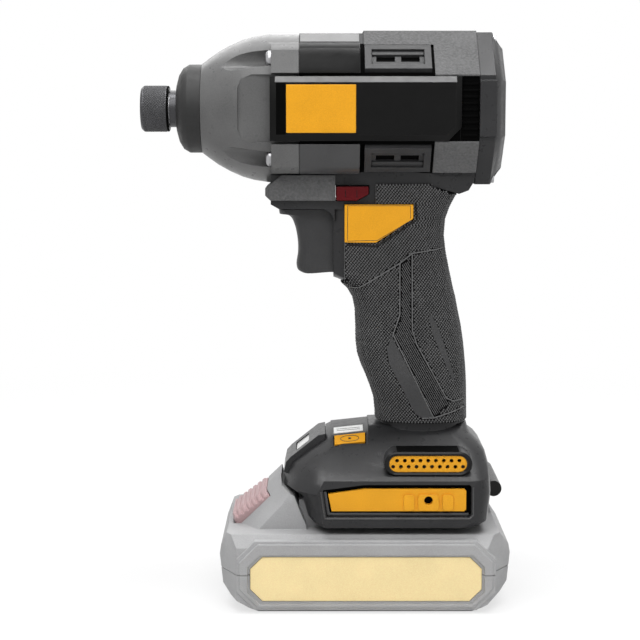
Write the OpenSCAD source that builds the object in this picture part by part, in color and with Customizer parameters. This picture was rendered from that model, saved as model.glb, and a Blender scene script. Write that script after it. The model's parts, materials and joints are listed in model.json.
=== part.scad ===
// Cordless impact driver with a slide-on battery pack, in millimetres.
// +X points out of the bit socket, +Y to the tool's left and +Z up.
// The origin is on the surface that the pack stands on, under the pack's centre.

/* [Heights] */
// Height of the pack's body, up to its top deck
pack_h = 30; // [26:0.5:36]
// Gap between the pack's deck and the foot's lower edge
deck_gap = 2.8; // [2:0.1:4]
// Height of the foot, from its lower edge to the root of the grip
foot_h = 37.2; // [34:0.2:42]
// Length of the grip, from the foot to the underside of the head
grip_len = 94.2; // [88:0.2:104]

/* [Head] */
// Height of the motor head across its top and bottom flats
head_h = 57.6; // [56:0.2:62]
// Front face of the motor head
head_front_x = 25.6; // [24:0.2:27]
// Length of the motor head, from its front face to the rear cap
head_len = 68; // [67:0.5:72]
// Length of the rear cap
cap_len = 10.5; // [10.5:0.1:14]
// Thickness of the rubber bumper over the head's rear
bumper_t = 1; // [0.8:0.1:2]

/* [Nose] */
// Length of the gear case in front of the motor head
case_len = 38.1; // [37.5:0.1:40]
// Radius of the gear case where it meets the nose boot
case_front_r = 17.5; // [17:0.1:19]
// Thickness of the gear case's bolt flange
flange_t = 10.6; // [9:0.2:12]
// Radius of the nose boot
boot_r = 17.2; // [16:0.1:17.4]
// Length of the nose boot
boot_len = 10; // [9:0.2:12]
// Radius of the collet sleeve
collet_r = 8.8; // [8.6:0.1:10]
// Length of the collet sleeve
collet_len = 10.9; // [10:0.1:13]
// Gap between the nose boot and the collet sleeve, where the bush shows
neck_len = 3.1; // [2:0.1:5]
// Travel of the collet sleeve when a bit is released
collet_travel = 4; // [3:0.5:4]
// Bit socket, across its flats
bit_hex = 6.35; // [6.35:0.05:7]
// Depth of the bit socket
bit_depth = 25; // [22:0.5:25]

/* [Drive] */
// Travel of the hammer when it climbs its cam
hammer_travel = 6; // [5.2:0.1:6.2]
// Radius of the anvil's shaft
anvil_r = 6; // [5.8:0.1:6.4]
// Radius of the rotor shaft
rotor_shaft_r = 2.5; // [2:0.1:2.6]
// Radius of the rotor core
rotor_r = 10.5; // [9:0.1:11]
// Length of the stator core
stator_len = 18; // [16:0.5:19]

/* [Grip] */
// Half width of the grip at its middle
grip_half_w = 16.6; // [15.5:0.1:18.5]
// Thickness of the rubber on the grip
rubber_t = 1.8; // [1.4:0.1:2.4]
// Wall of the plastic shells
shell_wall = 2.6; // [2.2:0.1:3.2]
// Half width of the trigger guard
guard_half_w = 14.6; // [13.5:0.1:15.5]
// Half width of the trigger
trigger_half_w = 9.5; // [8:0.1:10.5]
// Travel of the trigger
trigger_travel = 6; // [4:0.5:6.5]
// Travel of the direction selector to each side
selector_travel = 3; // [2:0.5:4]

/* [Foot] */
// Half width of the foot at its lower edge
foot_half_w = 35; // [33:0.5:36.5]
// Front of the foot, at the lamp
foot_front_x = 31.6; // [30:0.2:33]
// Rear of the foot
foot_rear_x = -48.4; // [-51:0.2:-47]
// Travel of the mode button
mode_travel = 0.6; // [0.4:0.1:0.8]
// Radius of the tapped hole that holds a belt hook
hook_hole_r = 1.65; // [1.2:0.05:2]

/* [Pack] */
// Half width of the pack
pack_half_w = 37; // [36.5:0.5:40]
// Front of the pack
pack_front_x = 57; // [57:0.2:60]
// Rear of the pack
pack_rear_x = -57; // [-60:0.2:-57]
// Wall of the pack's case
pack_wall = 2; // [1.6:0.1:2.4]
// Radius of a battery cell
cell_r = 9.1; // [8.8:0.1:9.2]
// Length of a battery cell
cell_len = 65; // [63:0.5:66]
// Half width of the pack's rail tower
tower_half_w = 21; // [19:0.5:22]
// Travel of the pack's release button
release_travel = 3; // [2:0.5:3.5]

/* [Clearances] */
// Gap between pieces that are seated on each other
seat_gap = 0.1; // [0.05:0.01:0.15]
// Radial gap of a running fit
run_gap = 0.05; // [0.03:0.01:0.08]
// Gap round pieces that slide or are pressed
move_gap = 0.4; // [0.3:0.05:0.5]

/* [Hidden] */
$fn = 64;

// Colours
body_black = [0.10, 0.10, 0.11];
soft_grey = [0.24, 0.24, 0.25];
case_grey = [0.20, 0.20, 0.21];
yellow = [0.90, 0.60, 0.08];
steel = [0.70, 0.70, 0.72];
dark_steel = [0.30, 0.30, 0.32];
copper = [0.72, 0.42, 0.22];
board_green = [0.10, 0.32, 0.18];
selector_red = [0.35, 0.06, 0.08];
pack_grey = [0.68, 0.68, 0.69];
pack_cream = [0.93, 0.83, 0.58];
pack_pink = [0.80, 0.66, 0.66];
white = [0.92, 0.92, 0.92];

// Heights
foot_z = pack_h + deck_gap;
grip_z = foot_z + foot_h;
head_z = grip_z + grip_len;
axis_z = head_z + head_h / 2;

// Sizes across the head and the drive, which follow the head's height
head_w = head_h - 2.6;
head_top_flat = 0.174 * head_h;
head_side_flat = 0.215 * head_h;
case_r = head_h / 2;
motor_bore_r = case_r - 4.8;
hammer_r = case_r - 8.8;
gear_module = motor_bore_r / 32;

// Stations along the drive axis
head_rear_x = head_front_x - head_len;
cap_rear_x = head_rear_x - cap_len;
case_front_x = head_front_x + case_len;
flange_front_x = head_front_x + flange_t;
boot_front_x = case_front_x + boot_len;
collet_rear_x = boot_front_x + neck_len;
collet_front_x = collet_rear_x + collet_len;
anvil_front_x = collet_front_x - 0.8;

// Case bolts, on the head's diagonals
bolt_y = 0.712 * case_r;
bolt_z = 0.646 * case_r;
bolt_r = 2;
bolt_head_r = 3.3;
bolt_head_h = 2.2;
bolt_depth = 16;

// Screws that hold the rear cap
cap_screw_y = head_top_flat - 1.5;
cap_screw_inset = 2.7;
screw_r = 1.3;
screw_head_r = 2.6;
screw_head_h = 2;

// Planetary gears
sun_teeth = 10;
planet_teeth = 20;
ring_teeth = sun_teeth + 2 * planet_teeth;
planet_count = 3;
planet_orbit = gear_module * (sun_teeth + planet_teeth) / 2;
pressure_angle = 25;
gear_addendum = 0.8 * gear_module;
gear_dedendum = 1.05 * gear_module;
gear_backlash = 0.14;
planet_tip_r = gear_module * planet_teeth / 2 + gear_addendum;
sun_tip_r = gear_module * sun_teeth / 2 + gear_addendum;
ring_root_r = gear_module * ring_teeth / 2 + gear_dedendum;
ring_out_r = ring_root_r + 2.7;
planet_pin_r = 2.4;

// Gear case
case_rear_x = head_front_x + seat_gap;
side_flat_y = case_r - 4.4;
side_flat_h = head_side_flat + 0.4;
cavity_r = hammer_r + 1;
cavity_taper_x = case_front_x - 11.5;
cavity_front_x = case_front_x - 5.2;
cavity_front_r = cavity_r - 3.4;
spigot_r = 12;
spigot_front_x = boot_front_x - 1.2;
bush_r = 8.4;
bush_neck_r = 7.2;

// Hammer and anvil
lug_t = 5.4;
anvil_rear_x = cavity_front_x - 1 - lug_t;
anvil_lug_r = cavity_front_r - 1.2;
hammer_front_x = anvil_rear_x - 0.5;
hammer_len = 15.5;
hammer_rear_x = hammer_front_x - hammer_len;
hammer_lug_in = 9.6;
hammer_lug_out = hammer_r - 3;
hammer_lug_w = 8;
anvil_lug_w = 9;
hammer_lug_angle = 60;
cam_r = 6.4;
cam_ball_r = 2.4;
cam_ball_orbit = cam_r + 0.8;
cam_ball_x = hammer_rear_x + 8;
spring_seat_x = hammer_rear_x + 9.2;
hammer_hub_r = 9.4;
hammer_bore_r = hammer_r - 3.6;
anvil_hub_r = 8.2;
pilot_r = 3.4;

// Carrier, planets and their cover
carrier_r = planet_orbit + 4.05;
carrier_front_x = hammer_rear_x - hammer_travel - 0.6;
planet_front_x = carrier_front_x - 3;
planet_len = 9.4;
planet_rear_x = planet_front_x - planet_len;
carrier_rear_x = planet_rear_x - 3;
bearing_t = 4;
bearing_in_r = 8.4;
bearing_out_r = 13;
carrier_hub_rear_x = carrier_rear_x - bearing_t;
plate_wall = 2.4;
plate_rear_x = carrier_hub_rear_x - 0.3 - plate_wall;
plate_front_x = head_front_x + 2;
motor_bearing_r = 8;
motor_bearing_t = 4.8;

// Motor
stator_front_x = plate_rear_x - motor_bearing_t - 9.6;
stator_rear_x = stator_front_x - stator_len;
coil_over = 4.6;
tooth_count = 6;
tooth_w = 6;
back_iron_r = motor_bore_r - 4;
coil_in_r = rotor_r + 2;
coil_out_r = back_iron_r - 1.3;
coil_half_w = 6.2;
air_gap = 0.6;
fan_front_x = stator_rear_x - coil_over - 1.6;
fan_len = 8;
fan_r = motor_bore_r - 2.6;
fan_blades = 11;
rear_bearing_x = head_rear_x - 0.6;

// Grip outline: share of the grip's length from the foot, front, rear and share of the half width
grip_shape = [
    [-0.10, -4.6, -41.0, 0.96], [0.03, -4.5, -40.8, 0.96], [0.09, -3.9, -40.7, 0.97],
    [0.14, -2.4, -40.6, 0.99], [0.19, -0.6, -40.4, 1.01], [0.235, 1.3, -40.1, 1.03],
    [0.28, 2.7, -39.7, 1.04], [0.33, 3.3, -39.2, 1.04], [0.40, 3.4, -38.2, 1.02],
    [0.47, 3.7, -36.8, 1.00], [0.52, 4.7, -35.9, 0.985], [0.56, 6.9, -34.9, 0.98],
    [0.58, 9.0, -34.5, 0.98], [0.60, 13.0, -34.1, 0.98], [0.63, 21.0, -33.5, 0.98],
    [0.71, 24.0, -32.0, 0.98], [0.78, 24.0, -31.2, 0.98], [0.85, 24.0, -31.7, 0.99],
    [0.90, 24.0, -33.4, 1.00], [0.945, 24.0, -35.6, 1.01], [0.975, 24.0, -38.0, 1.03],
    [1.00, 24.0, -40.0, 1.035], [1.06, 24.0, -41.4, 1.04]];
grip_sides = 28;
grip_power = 2.7;

// Trigger and guard, as drops below the head
shelf_drop = 7.6;
guard_drop = 9.8;
trigger_drop = guard_drop + move_gap;
trigger_h = 25.2;
guard_front_x = head_front_x + 11.2;
guard_rear_x = 12.4;
trigger_overlap = 2;
switch_half_w = 8.5;
guard_bottom_drop = 37.2;
shelf_rubber_t = 2.2;
shelf_rear_x = 11.8;
shelf_front_x = guard_front_x + shelf_rubber_t;
shelf_half_w = guard_half_w + shelf_rubber_t;
inlay_out = 0.9;

// Direction selector
selector_front_x = 11.4;
selector_rear_x = -1;
selector_h = 5.4;
selector_drop = 0.9;
selector_half_l = guard_half_w + 0.8 + selector_travel;

// Foot
groove_d = 3;
lamp_half_w = 12.5;
crease_half_w = foot_half_w - 1.6;
accessory_z = foot_z + 10.8;
accessory_h = 8.8;
accessory_low_z = accessory_z - accessory_h / 2;
accessory_high_z = accessory_z + accessory_h / 2;
accessory_front_x = 14.6;
accessory_rear_x = -38.6;
accessory_t = 2.4;
accessory_y = foot_half_w - 0.9;
boss_y = accessory_y - accessory_t - 4.6;
module_rear_x = -36;
module_len = 50;
module_z = foot_z + 11.4;
floor_rail_t = 3;
floor_rail_w = foot_half_w - 1.8 - tower_half_w + groove_d;
floor_rail_front_x = 15;
floor_rail_rear_x = -38;
passage_back = 5;
hook_hole_x = -24;
grille_x = -24;
grille_len = 30;
grille_h = 6.4;
grille_y = foot_half_w - 4;
grille_t = 1.6;
grille_pitch = 3;
grille_z = foot_z + 24.4;
grille_hole_r = 0.75;
panel_front_x = 13.4;
panel_rear_x = -1.4;
panel_t = 1.2;
button_front_x = panel_front_x - 1;
button_rear_x = panel_rear_x + 1;
button_from = 0.18;
button_to = 0.92;

// Pack
pack_split_z = pack_h / 2;
tower_front_x = 26;
tower_rear_x = -40;
tower_h = 11;
cell_count = 5;
cell_pitch = 2 * cell_r + 0.4;
cell_z = pack_wall + cell_r + 0.3;
label_t = 1;

// Helpers

// A prism along X from points [y, z]
module prism_x(x0, x1, points)
    translate([x0, 0, 0]) rotate([90, 0, 90]) linear_extrude(x1 - x0) polygon(points);

// A prism along Y from points [x, z]
module prism_y(y0, y1, points)
    translate([0, y1, 0]) rotate([90, 0, 0]) linear_extrude(y1 - y0) polygon(points);

// A prism along Z from points [x, y]
module prism_z(z0, z1, points)
    translate([0, 0, z0]) linear_extrude(z1 - z0) polygon(points);

// A rod along X on the drive axis, moved by [y, z]
module rod_x(x0, x1, r, at = [0, 0])
    translate([x0, at[0], axis_z + at[1]]) rotate([0, 90, 0]) cylinder(r = r, h = x1 - x0);

// A rod along Y
module rod_y(y0, y1, r, at)
    translate([at[0], y1, at[1]]) rotate([90, 0, 0]) cylinder(r = r, h = y1 - y0);

// A ring along X on the drive axis
module ring_x(x0, x1, r_out, r_in)
    difference() {
        rod_x(x0, x1, r_out);
        rod_x(x0 - 1, x1 + 1, r_in);
    }

// A solid turned about the drive axis from points [x, radius]
module turned(points)
    translate([0, 0, axis_z]) rotate([0, 90, 0]) rotate_extrude()
        polygon([for (p = points) [p[1], p[0]]]);

// Children on the left side and mirrored to the right
module both_sides() {
    children();
    mirror([0, 1, 0]) children();
}

// Points moved by [x, y]
function moved(points, by) = [for (p = points) p + by];

// The head's eight-sided outline as [y, z], grown by o
function head_outline(o = 0) =
    let (w = head_w / 2 + o, h = head_h / 2 + o,
         t = head_top_flat + 0.4 * o, s = head_side_flat + 0.4 * o)
    [[t, axis_z + h], [w, axis_z + s], [w, axis_z - s], [t, axis_z - h],
     [-t, axis_z - h], [-w, axis_z - s], [-w, axis_z + s], [-t, axis_z + h]];

// A bolt rail's outline as [y, z], on the upper left diagonal
rail_shares = [[0.469, 0.66], [0.469, 0.865], [0.747, 0.851], [0.889, 0.764], [1.007, 0.462],
    [0.833, 0.462], [0.694, 0.486]];
rail_outline = [for (p = rail_shares) case_r * p + [0, axis_z]];

// A closed solid through rings of points that lie above each other
module loft(rings) {
    n = len(rings[0]);
    last = len(rings) - 1;
    polyhedron(
        points = [for (ring = rings) for (p = ring) p],
        faces = concat(
            [[for (i = [0 : n - 1]) i]],
            [[for (i = [n - 1 : -1 : 0]) last * n + i]],
            [for (k = [0 : last - 1]) for (i = [0 : n - 1])
                [k * n + i, (k + 1) * n + i, (k + 1) * n + (i + 1) % n]],
            [for (k = [0 : last - 1]) for (i = [0 : n - 1])
                [k * n + i, (k + 1) * n + (i + 1) % n, k * n + (i + 1) % n]]));
}

// A rounded ring at height z
function round_ring(z, front, rear, half_w) = [for (i = [0 : grip_sides - 1])
    let (a = 360 * i / grip_sides, c = cos(a), s = sin(a))
    [(front + rear) / 2 + (front - rear) / 2 * sign(c) * pow(abs(c), 2 / grip_power),
     half_w * sign(s) * pow(abs(s), 2 / grip_power), z]];

// The grip's surface, taken in by inset
function grip_rings(inset) = [for (g = grip_shape)
    round_ring(grip_z + g[0] * grip_len, g[1] - inset, g[2] + inset, g[3] * grip_half_w - inset)];

// A foot ring at height z: a flat front of half width f, cut front corners and round rear corners
function foot_ring(z, front, rear, half_w, f, cut) =
    let (r = min(8, half_w - 1), side = concat(
        [[front, f], [front - 0.35 * cut, f + 0.62 * (half_w - f)], [front - cut, half_w]],
        [for (a = [0 : 30 : 90]) [rear + r - r * sin(a), half_w - r + r * cos(a)]]))
    concat([for (p = side) [p[0], p[1], z]],
        [for (i = [len(side) - 1 : -1 : 0]) [side[i][0], -side[i][1], z]]);

// The foot's surface, taken in by inset
function foot_rings(inset) =
    let (f = foot_front_x - inset, r = foot_rear_x + inset, w = foot_half_w - inset,
         c = crease_half_w - inset, low = inset > 0 ? -1 : 0)
    [foot_ring(foot_z + low, f - 10, r + 4, w - 0.6, 14, 6),
     foot_ring(foot_z + 2, f - 8, r + 1, w, 15, 7),
     foot_ring(foot_z + 10.8, f - 4.7, r, w - 0.5, 16, 9),
     foot_ring(foot_z + 13, f + 0.4, r - 0.2, w - 0.7, 13, 13),
     foot_ring(foot_z + 18.2, f - 0.4, r, c, 10, 15),
     foot_ring(foot_z + 21.5, f - 1.6, r, c - 4.4, 9, 15),
     foot_ring(foot_z + 26.7, f - 7.8, r + 1.2, c - 10.6, 8, 12),
     foot_ring(foot_z + 30, f - 12, r + 3.6, c - 14.4, 7, 11),
     foot_ring(foot_z + 32.4 - inset, f - 15.2, r + 6.4, c - 17, 6.5, 10),
     foot_ring(foot_z + 33.8 - inset, f - 17.6, r + 7.2, c - 19, 6, 10),
     foot_ring(foot_z + 36 - inset, f - 26, r + 7.6, c - 23, 6, 10)];

// One external gear outline about [0, 0]
function gear_angle(n, rho, thin) =
    let (pitch_r = gear_module * n / 2, base_r = pitch_r * cos(pressure_angle),
         a = acos(min(1, base_r / max(rho, base_r))))
    90 / n - thin / pitch_r * 90 / PI
        + (tan(pressure_angle) - tan(a)) * 180 / PI - pressure_angle + a;
function gear_outline(n, r_low, r_high, thin, turn = 0) =
    let (steps = 4)
    [for (tooth = [0 : n - 1]) for (side = [-1, 1]) for (k = [0 : steps])
        let (share = side < 0 ? k / steps : 1 - k / steps,
             rho = r_low + (r_high - r_low) * share,
             a = turn + 360 * tooth / n + side * gear_angle(n, rho, thin))
        rho * [cos(a), sin(a)]];
function planet_at(k) = planet_orbit * [cos(360 * k / planet_count), sin(360 * k / planet_count)];

// A coil spring along +Z from the origin
module coil(r, wire_r, length, turns) {
    sides = 6;
    per_turn = 12;
    rings = ceil(turns * per_turn);
    pitch = (length - 2 * wire_r) / turns;
    loft([for (k = [0 : rings])
        let (a = 360 * k / per_turn, h = wire_r + pitch * k / per_turn)
        [for (i = [0 : sides - 1])
            let (b = 360 * i / sides, rr = r + wire_r * cos(b))
            [rr * cos(a), rr * sin(a), h - wire_r * sin(b)]]]);
}

// Head and housing

module housing_solid() {
    prism_x(head_rear_x, head_front_x, head_outline());
    both_sides() {
        prism_x(2.6, head_front_x, rail_outline);
        mirror_rail() prism_x(2.6, head_front_x, rail_outline);
    }
    intersection() {
        loft(grip_rings(rubber_t + seat_gap));
        housing_reach();
    }
    guard_solid();
    tang_solid();
    difference() {
        union() {
            loft(foot_rings(0));
            both_sides() grille_boss();
        }
        both_sides() accessory_recess();
        both_sides() grille_recess();
    }
}

// A rail below the axis, from one above it
module mirror_rail() translate([0, 0, 2 * axis_z]) mirror([0, 0, 1]) children();

// The part of the neck that lies behind the trigger's opening
module housing_reach()
    prism_y(-40, 40, [[guard_rear_x, head_z + 12], [guard_rear_x, head_z - guard_bottom_drop - 1],
        [20, head_z - guard_bottom_drop - 2], [20, foot_z + 20], [-60, foot_z + 20], [-60, head_z + 12]]);

// The shelf over the trigger
module guard_solid()
    difference() {
        prism_y(-guard_half_w, guard_half_w, [[guard_front_x, head_z + 6],
            [guard_front_x, head_z - shelf_drop - 0.4], [guard_front_x - 3.2, head_z - guard_drop],
            [guard_rear_x - 4, head_z - guard_drop], [guard_rear_x - 4, head_z + 6]]);
        rod_x(head_front_x - 0.01, guard_front_x + 5, case_r + move_gap);
    }

// The wedge behind the grip, under the rear cap
module tang_solid()
    prism_y(-13, 13, [[-26, head_z + 3], [head_rear_x + 0.4, head_z + 3], [head_rear_x + 0.4, head_z + 0.8],
        [head_rear_x + 2.4, head_z - 2.6], [-36.3, head_z - 4], [-26, head_z - 1]]);

module housing_hollow() {
    rod_x(head_rear_x - 1, head_front_x + 1, motor_bore_r);
    intersection() {
        loft(grip_rings(rubber_t + seat_gap + shell_wall));
        prism_y(-40, 40, [[guard_rear_x - 3.4, head_z + 6], [guard_rear_x - 3.4, foot_z + 12],
            [-60, foot_z + 12], [-60, head_z + 6]]);
    }
    difference() {
        loft(foot_rings(shell_wall));
        both_sides() accessory_boss();
    }
    trigger_pocket();
    selector_slot();
    tower_passage();
    lamp_pocket();
    panel_pocket();
    button_well();
    both_sides() exhaust_slot();
    both_sides() {
        vent_slots();
        mirror_rail() vent_slots();
    }
    case_bolt_holes(head_front_x - bolt_depth - 1, head_front_x + 1, bolt_r + seat_gap);
    cap_screw_holes(head_rear_x - 1, head_rear_x + 12, screw_r + run_gap);
}

module trigger_pocket()
    translate([trigger_rear_x - trigger_travel - move_gap, -trigger_half_w - move_gap,
        head_z - trigger_drop - trigger_h - move_gap])
        cube([trigger_travel + 10, 2 * (trigger_half_w + move_gap), trigger_h + 2 * move_gap]);

module selector_slot()
    prism_y(-40, 40, selector_outline(move_gap));

// Room for the pack's tower to slide through the foot
module tower_passage()
    translate([tower_rear_x - passage_back, -tower_half_w - move_gap, foot_z - 5])
        cube([100, 2 * (tower_half_w + move_gap), 5 + tower_h - deck_gap + move_gap]);

module lamp_pocket() prism_y(-lamp_half_w - seat_gap, lamp_half_w + seat_gap, lamp_outline(seat_gap, 4));

module panel_pocket()
    prism_x(panel_rear_x - seat_gap, panel_front_x + seat_gap, panel_outline(seat_gap, 6));

// Room below the mode button
module button_well()
    prism_x(button_rear_x, button_front_x,
        slope_strip(button_from - 0.06, button_to + 0.06, panel_t + mode_travel + move_gap, 1));

// The fan's outlet behind the badge panel
module exhaust_slot()
    translate([head_rear_x + 1.6, head_w / 2 - 6, axis_z - 9.6]) cube([4.2, 12, 19.2]);

module case_bolt_holes(x0, x1, r)
    for (sy = [-1, 1], sz = [-1, 1]) rod_x(x0, x1, r, [sy * bolt_y, sz * bolt_z]);

module cap_screw_holes(x0, x1, r)
    for (sy = [-1, 1], sz = [-1, 1])
        rod_x(x0, x1, r, [sy * cap_screw_y, sz * (head_h / 2 - cap_screw_inset)]);

// Screws that join the two housing halves, as [x, z, half width of the housing there]
joint_screws = [
    [20, head_z - 4.2, guard_half_w],
    [-14, grip_z + 0.52 * grip_len, grip_half_w - rubber_t - 0.6],
    [-27, grip_z + 0.18 * grip_len, grip_half_w - rubber_t - 1.6],
    [9, foot_z + 24.4, crease_half_w - 9],
    [-43, foot_z + 25.6, crease_half_w - 12]];
joint_boss_r = 3.2;

// Bosses for those screws and ribs for the trigger's switch, kept inside the shells
module inner_bosses()
    intersection() {
        union() {
            for (s = joint_screws) rod_y(-foot_half_w, foot_half_w, joint_boss_r, [s[0], s[1]]);
            both_sides() switch_rib();
        }
        union() {
            loft(grip_rings(rubber_t + seat_gap + 0.5));
            loft(foot_rings(0.5));
            guard_solid();
        }
    }

module housing_half(side)
    color(body_black) difference() {
        union() {
            difference() {
                housing_solid();
                housing_hollow();
            }
            inner_bosses();
            both_sides() floor_rail();
        }
        for (s = joint_screws) rod_y(-s[2] - 8, s[2] - 2, screw_r + run_gap, [s[0], s[1]]);
        for (s = joint_screws) rod_y(-s[2] - 20, -s[2] + 4, screw_head_r + seat_gap, [s[0], s[1]]);
        translate([-100, side > 0 ? -200 + seat_gap / 2 : -seat_gap / 2, -10]) cube([200, 200, 300]);
    }

// The foot's floor, which carries the pack
module floor_rail()
    translate([floor_rail_rear_x, tower_half_w - groove_d + move_gap, foot_z + move_gap])
        cube([floor_rail_front_x - floor_rail_rear_x, floor_rail_w, floor_rail_t]);

// A rib that holds the trigger's switch
module switch_rib()
    translate([switch_rear_x + 6, switch_half_w + seat_gap, trigger_z - 15]) cube([8, 12, 3]);

module left_housing() housing_half(1);
module right_housing() housing_half(-1);

// Rear cap and bumpers

cap_slot_count = 7;
cap_slot_pitch = 4.6;
cap_block = [[head_w / 2 - 2, axis_z + 11.4], [head_w / 2 + 2, axis_z + 10.4],
    [head_w / 2 + 2, axis_z - 10.4], [head_w / 2 - 2, axis_z - 11.4]];

module rear_cap()
    color(body_black) difference() {
        union() {
            prism_x(head_rear_x - 6, head_rear_x - seat_gap, head_outline(0.4));
            hull() {
                prism_x(head_rear_x - 6, head_rear_x - 5.9, head_outline(0.4));
                prism_x(cap_rear_x, cap_rear_x + 0.1, head_outline(-6));
                prism_x(cap_rear_x + 2.4, cap_rear_x + 2.5, head_outline(-2.2));
            }
            both_sides() prism_x(head_rear_x - 6.4, head_rear_x - seat_gap, cap_block);
        }
        difference() {
            rod_x(cap_rear_x + shell_wall, head_rear_x + 1, motor_bore_r);
            rod_x(cap_rear_x, rear_bearing_x - 1, motor_bearing_r + 2.4);
        }
        rod_x(rear_bearing_x - motor_bearing_t - seat_gap, head_rear_x + 1, motor_bearing_r + seat_gap);
        cap_screw_holes(cap_rear_x - 1, head_rear_x + 1, screw_r + seat_gap);
        cap_screw_holes(cap_rear_x - 1, cap_rear_x + 5, screw_head_r + seat_gap);
        for (k = [0 : cap_slot_count - 1])
            translate([cap_rear_x - 1, -9, axis_z + cap_slot_pitch * (k - (cap_slot_count - 1) / 2) - 1.1])
                cube([shell_wall + 2, 18, 2.2]);
    }

bumper_drop = 4.6;
badge_half_h = head_side_flat - 0.3;

module rear_bumper()
    color(soft_grey) difference() {
        union() {
            prism_x(head_rear_x, head_rear_x + 16.8, head_outline(bumper_t));
            difference() {
                prism_x(head_rear_x, 1, head_outline(bumper_t));
                translate([-70, -60, axis_z - 90]) cube([90, 120, 90 + head_h / 2 - bumper_drop]);
            }
        }
        prism_x(-70, 10, head_outline(seat_gap));
        translate([-70, -60, axis_z - badge_half_h - seat_gap])
            cube([90, 120, 2 * (badge_half_h + seat_gap)]);
        translate([-70, -16, axis_z - 60]) cube([90, 32, 40]);
    }

module front_bumper()
    color(soft_grey) difference() {
        prism_z(head_z - shelf_drop, head_z + 1.8, [
            [shelf_rear_x, shelf_half_w], [guard_front_x - 5, shelf_half_w],
            [shelf_front_x, guard_half_w - 6], [shelf_front_x, -guard_half_w + 6],
            [guard_front_x - 5, -shelf_half_w], [shelf_rear_x, -shelf_half_w]]);
        translate([0, -guard_half_w - seat_gap, head_z - 20])
            cube([guard_front_x + seat_gap, 2 * (guard_half_w + seat_gap), 40]);
        rod_x(0, guard_front_x + 10, case_r + move_gap);
        prism_x(0, head_front_x + seat_gap, head_outline(seat_gap));
        rail_cut(0, guard_front_x + 5);
        rod_y(-60, 0, screw_head_r + seat_gap, [joint_screws[0][0], joint_screws[0][1]]);
    }

// Room round the lower bolt rails
module rail_cut(x0, x1)
    both_sides() mirror_rail() prism_x(x0, x1, moved(rail_outline, [0, move_gap]));

// Grip

rubber_front_x = 8;
rubber_outline = [
    [rubber_front_x, head_z - shelf_drop - 0.4], [rubber_front_x, head_z - guard_bottom_drop - 1],
    [20, grip_z + 0.5 * grip_len], [20, grip_z + 0.2], [-60, grip_z + 0.2], [-60, head_z - 4.4],
    [-36.3, head_z - 4.4], [-25.4, head_z - 1.4], [-25.4, head_z - 0.2], [-4, head_z - 0.2],
    [-4, head_z - shelf_drop - 0.4]];

module grip_rubber(side)
    color(body_black) difference() {
        intersection() {
            loft(grip_rings(0));
            prism_y(side > 0 ? seat_gap / 2 : -60, side > 0 ? 60 : -seat_gap / 2, rubber_outline);
        }
        loft(grip_rings(rubber_t));
        both_sides() prism_y(0, 60, inlay_outline(seat_gap));
        for (s = joint_screws) rod_y(-60, 0, screw_head_r + seat_gap, [s[0], s[1]]);
    }

module grip_rubber_left() grip_rubber(1);
module grip_rubber_right() grip_rubber(-1);

// The inlay's outline as [x, z], grown by o
function inlay_outline(o) =
    let (front = rubber_front_x + 0.2 + o, top = head_z - 7.9 + o, low = head_z - 22.6 - o)
    [[front, top], [-18.4 - o, top], [-18.4 - o, head_z - 13.4 - 0.6 * o], [-4 - 0.3 * o, low], [front, low]];

module grip_inlays()
    color(yellow) intersection() {
        both_sides() prism_y(0, 60, inlay_outline(0));
        difference() {
            loft(grip_rings(-inlay_out));
            loft(grip_rings(rubber_t));
        }
    }

// Nose

module gear_case()
    color(case_grey) difference() {
        union() {
            turned([[case_rear_x, 0], [case_rear_x, case_r], [head_front_x + 12, case_r],
                [head_front_x + 18, case_r - 0.9], [head_front_x + 22.5, case_r - 2.2],
                [head_front_x + 27.5, case_r - 4.4], [head_front_x + 32, case_r - 6.9],
                [head_front_x + 35.4, case_r - 9.3], [case_front_x, case_front_r], [case_front_x, spigot_r],
                [spigot_front_x, spigot_r], [spigot_front_x, 0]]);
            both_sides() {
                prism_x(case_rear_x, flange_front_x, rail_outline);
                mirror_rail() prism_x(case_rear_x, flange_front_x, rail_outline);
            }
        }
        turned([[head_front_x, 0], [head_front_x, motor_bore_r], [plate_front_x + seat_gap, motor_bore_r],
            [plate_front_x + seat_gap, cavity_r], [cavity_taper_x, cavity_r],
            [cavity_front_x, cavity_front_r], [cavity_front_x, bush_r + seat_gap],
            [spigot_front_x + 1, bush_r + seat_gap], [spigot_front_x + 1, 0]]);
        case_bolt_holes(head_front_x - 1, case_front_x, bolt_r + seat_gap);
        case_bolt_holes(flange_front_x, case_front_x, bolt_head_r + 0.8);
        both_sides() side_flat();
    }

// The flat that the badge panel's front end lies in
module side_flat()
    prism_y(side_flat_y, 40, [
        [head_front_x - 1, axis_z + side_flat_h], [head_front_x + 18, axis_z + side_flat_h],
        [head_front_x + 22, axis_z + side_flat_h - 1.6], [head_front_x + 23.4, axis_z + side_flat_h - 5],
        [head_front_x + 23.4, axis_z - side_flat_h + 5], [head_front_x + 22, axis_z - side_flat_h + 1.6],
        [head_front_x + 18, axis_z - side_flat_h], [head_front_x - 1, axis_z - side_flat_h]]);

module nose_boot()
    color(body_black) turned([
        [case_front_x + seat_gap, spigot_r + seat_gap], [case_front_x + seat_gap, boot_r],
        [boot_front_x - 5, boot_r], [boot_front_x - 2.6, boot_r - 1.4], [boot_front_x - 1, boot_r - 4],
        [boot_front_x, boot_r - 7.6], [boot_front_x, bush_neck_r + move_gap],
        [spigot_front_x + seat_gap, bush_neck_r + move_gap],
        [spigot_front_x + seat_gap, spigot_r + seat_gap]]);

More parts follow.
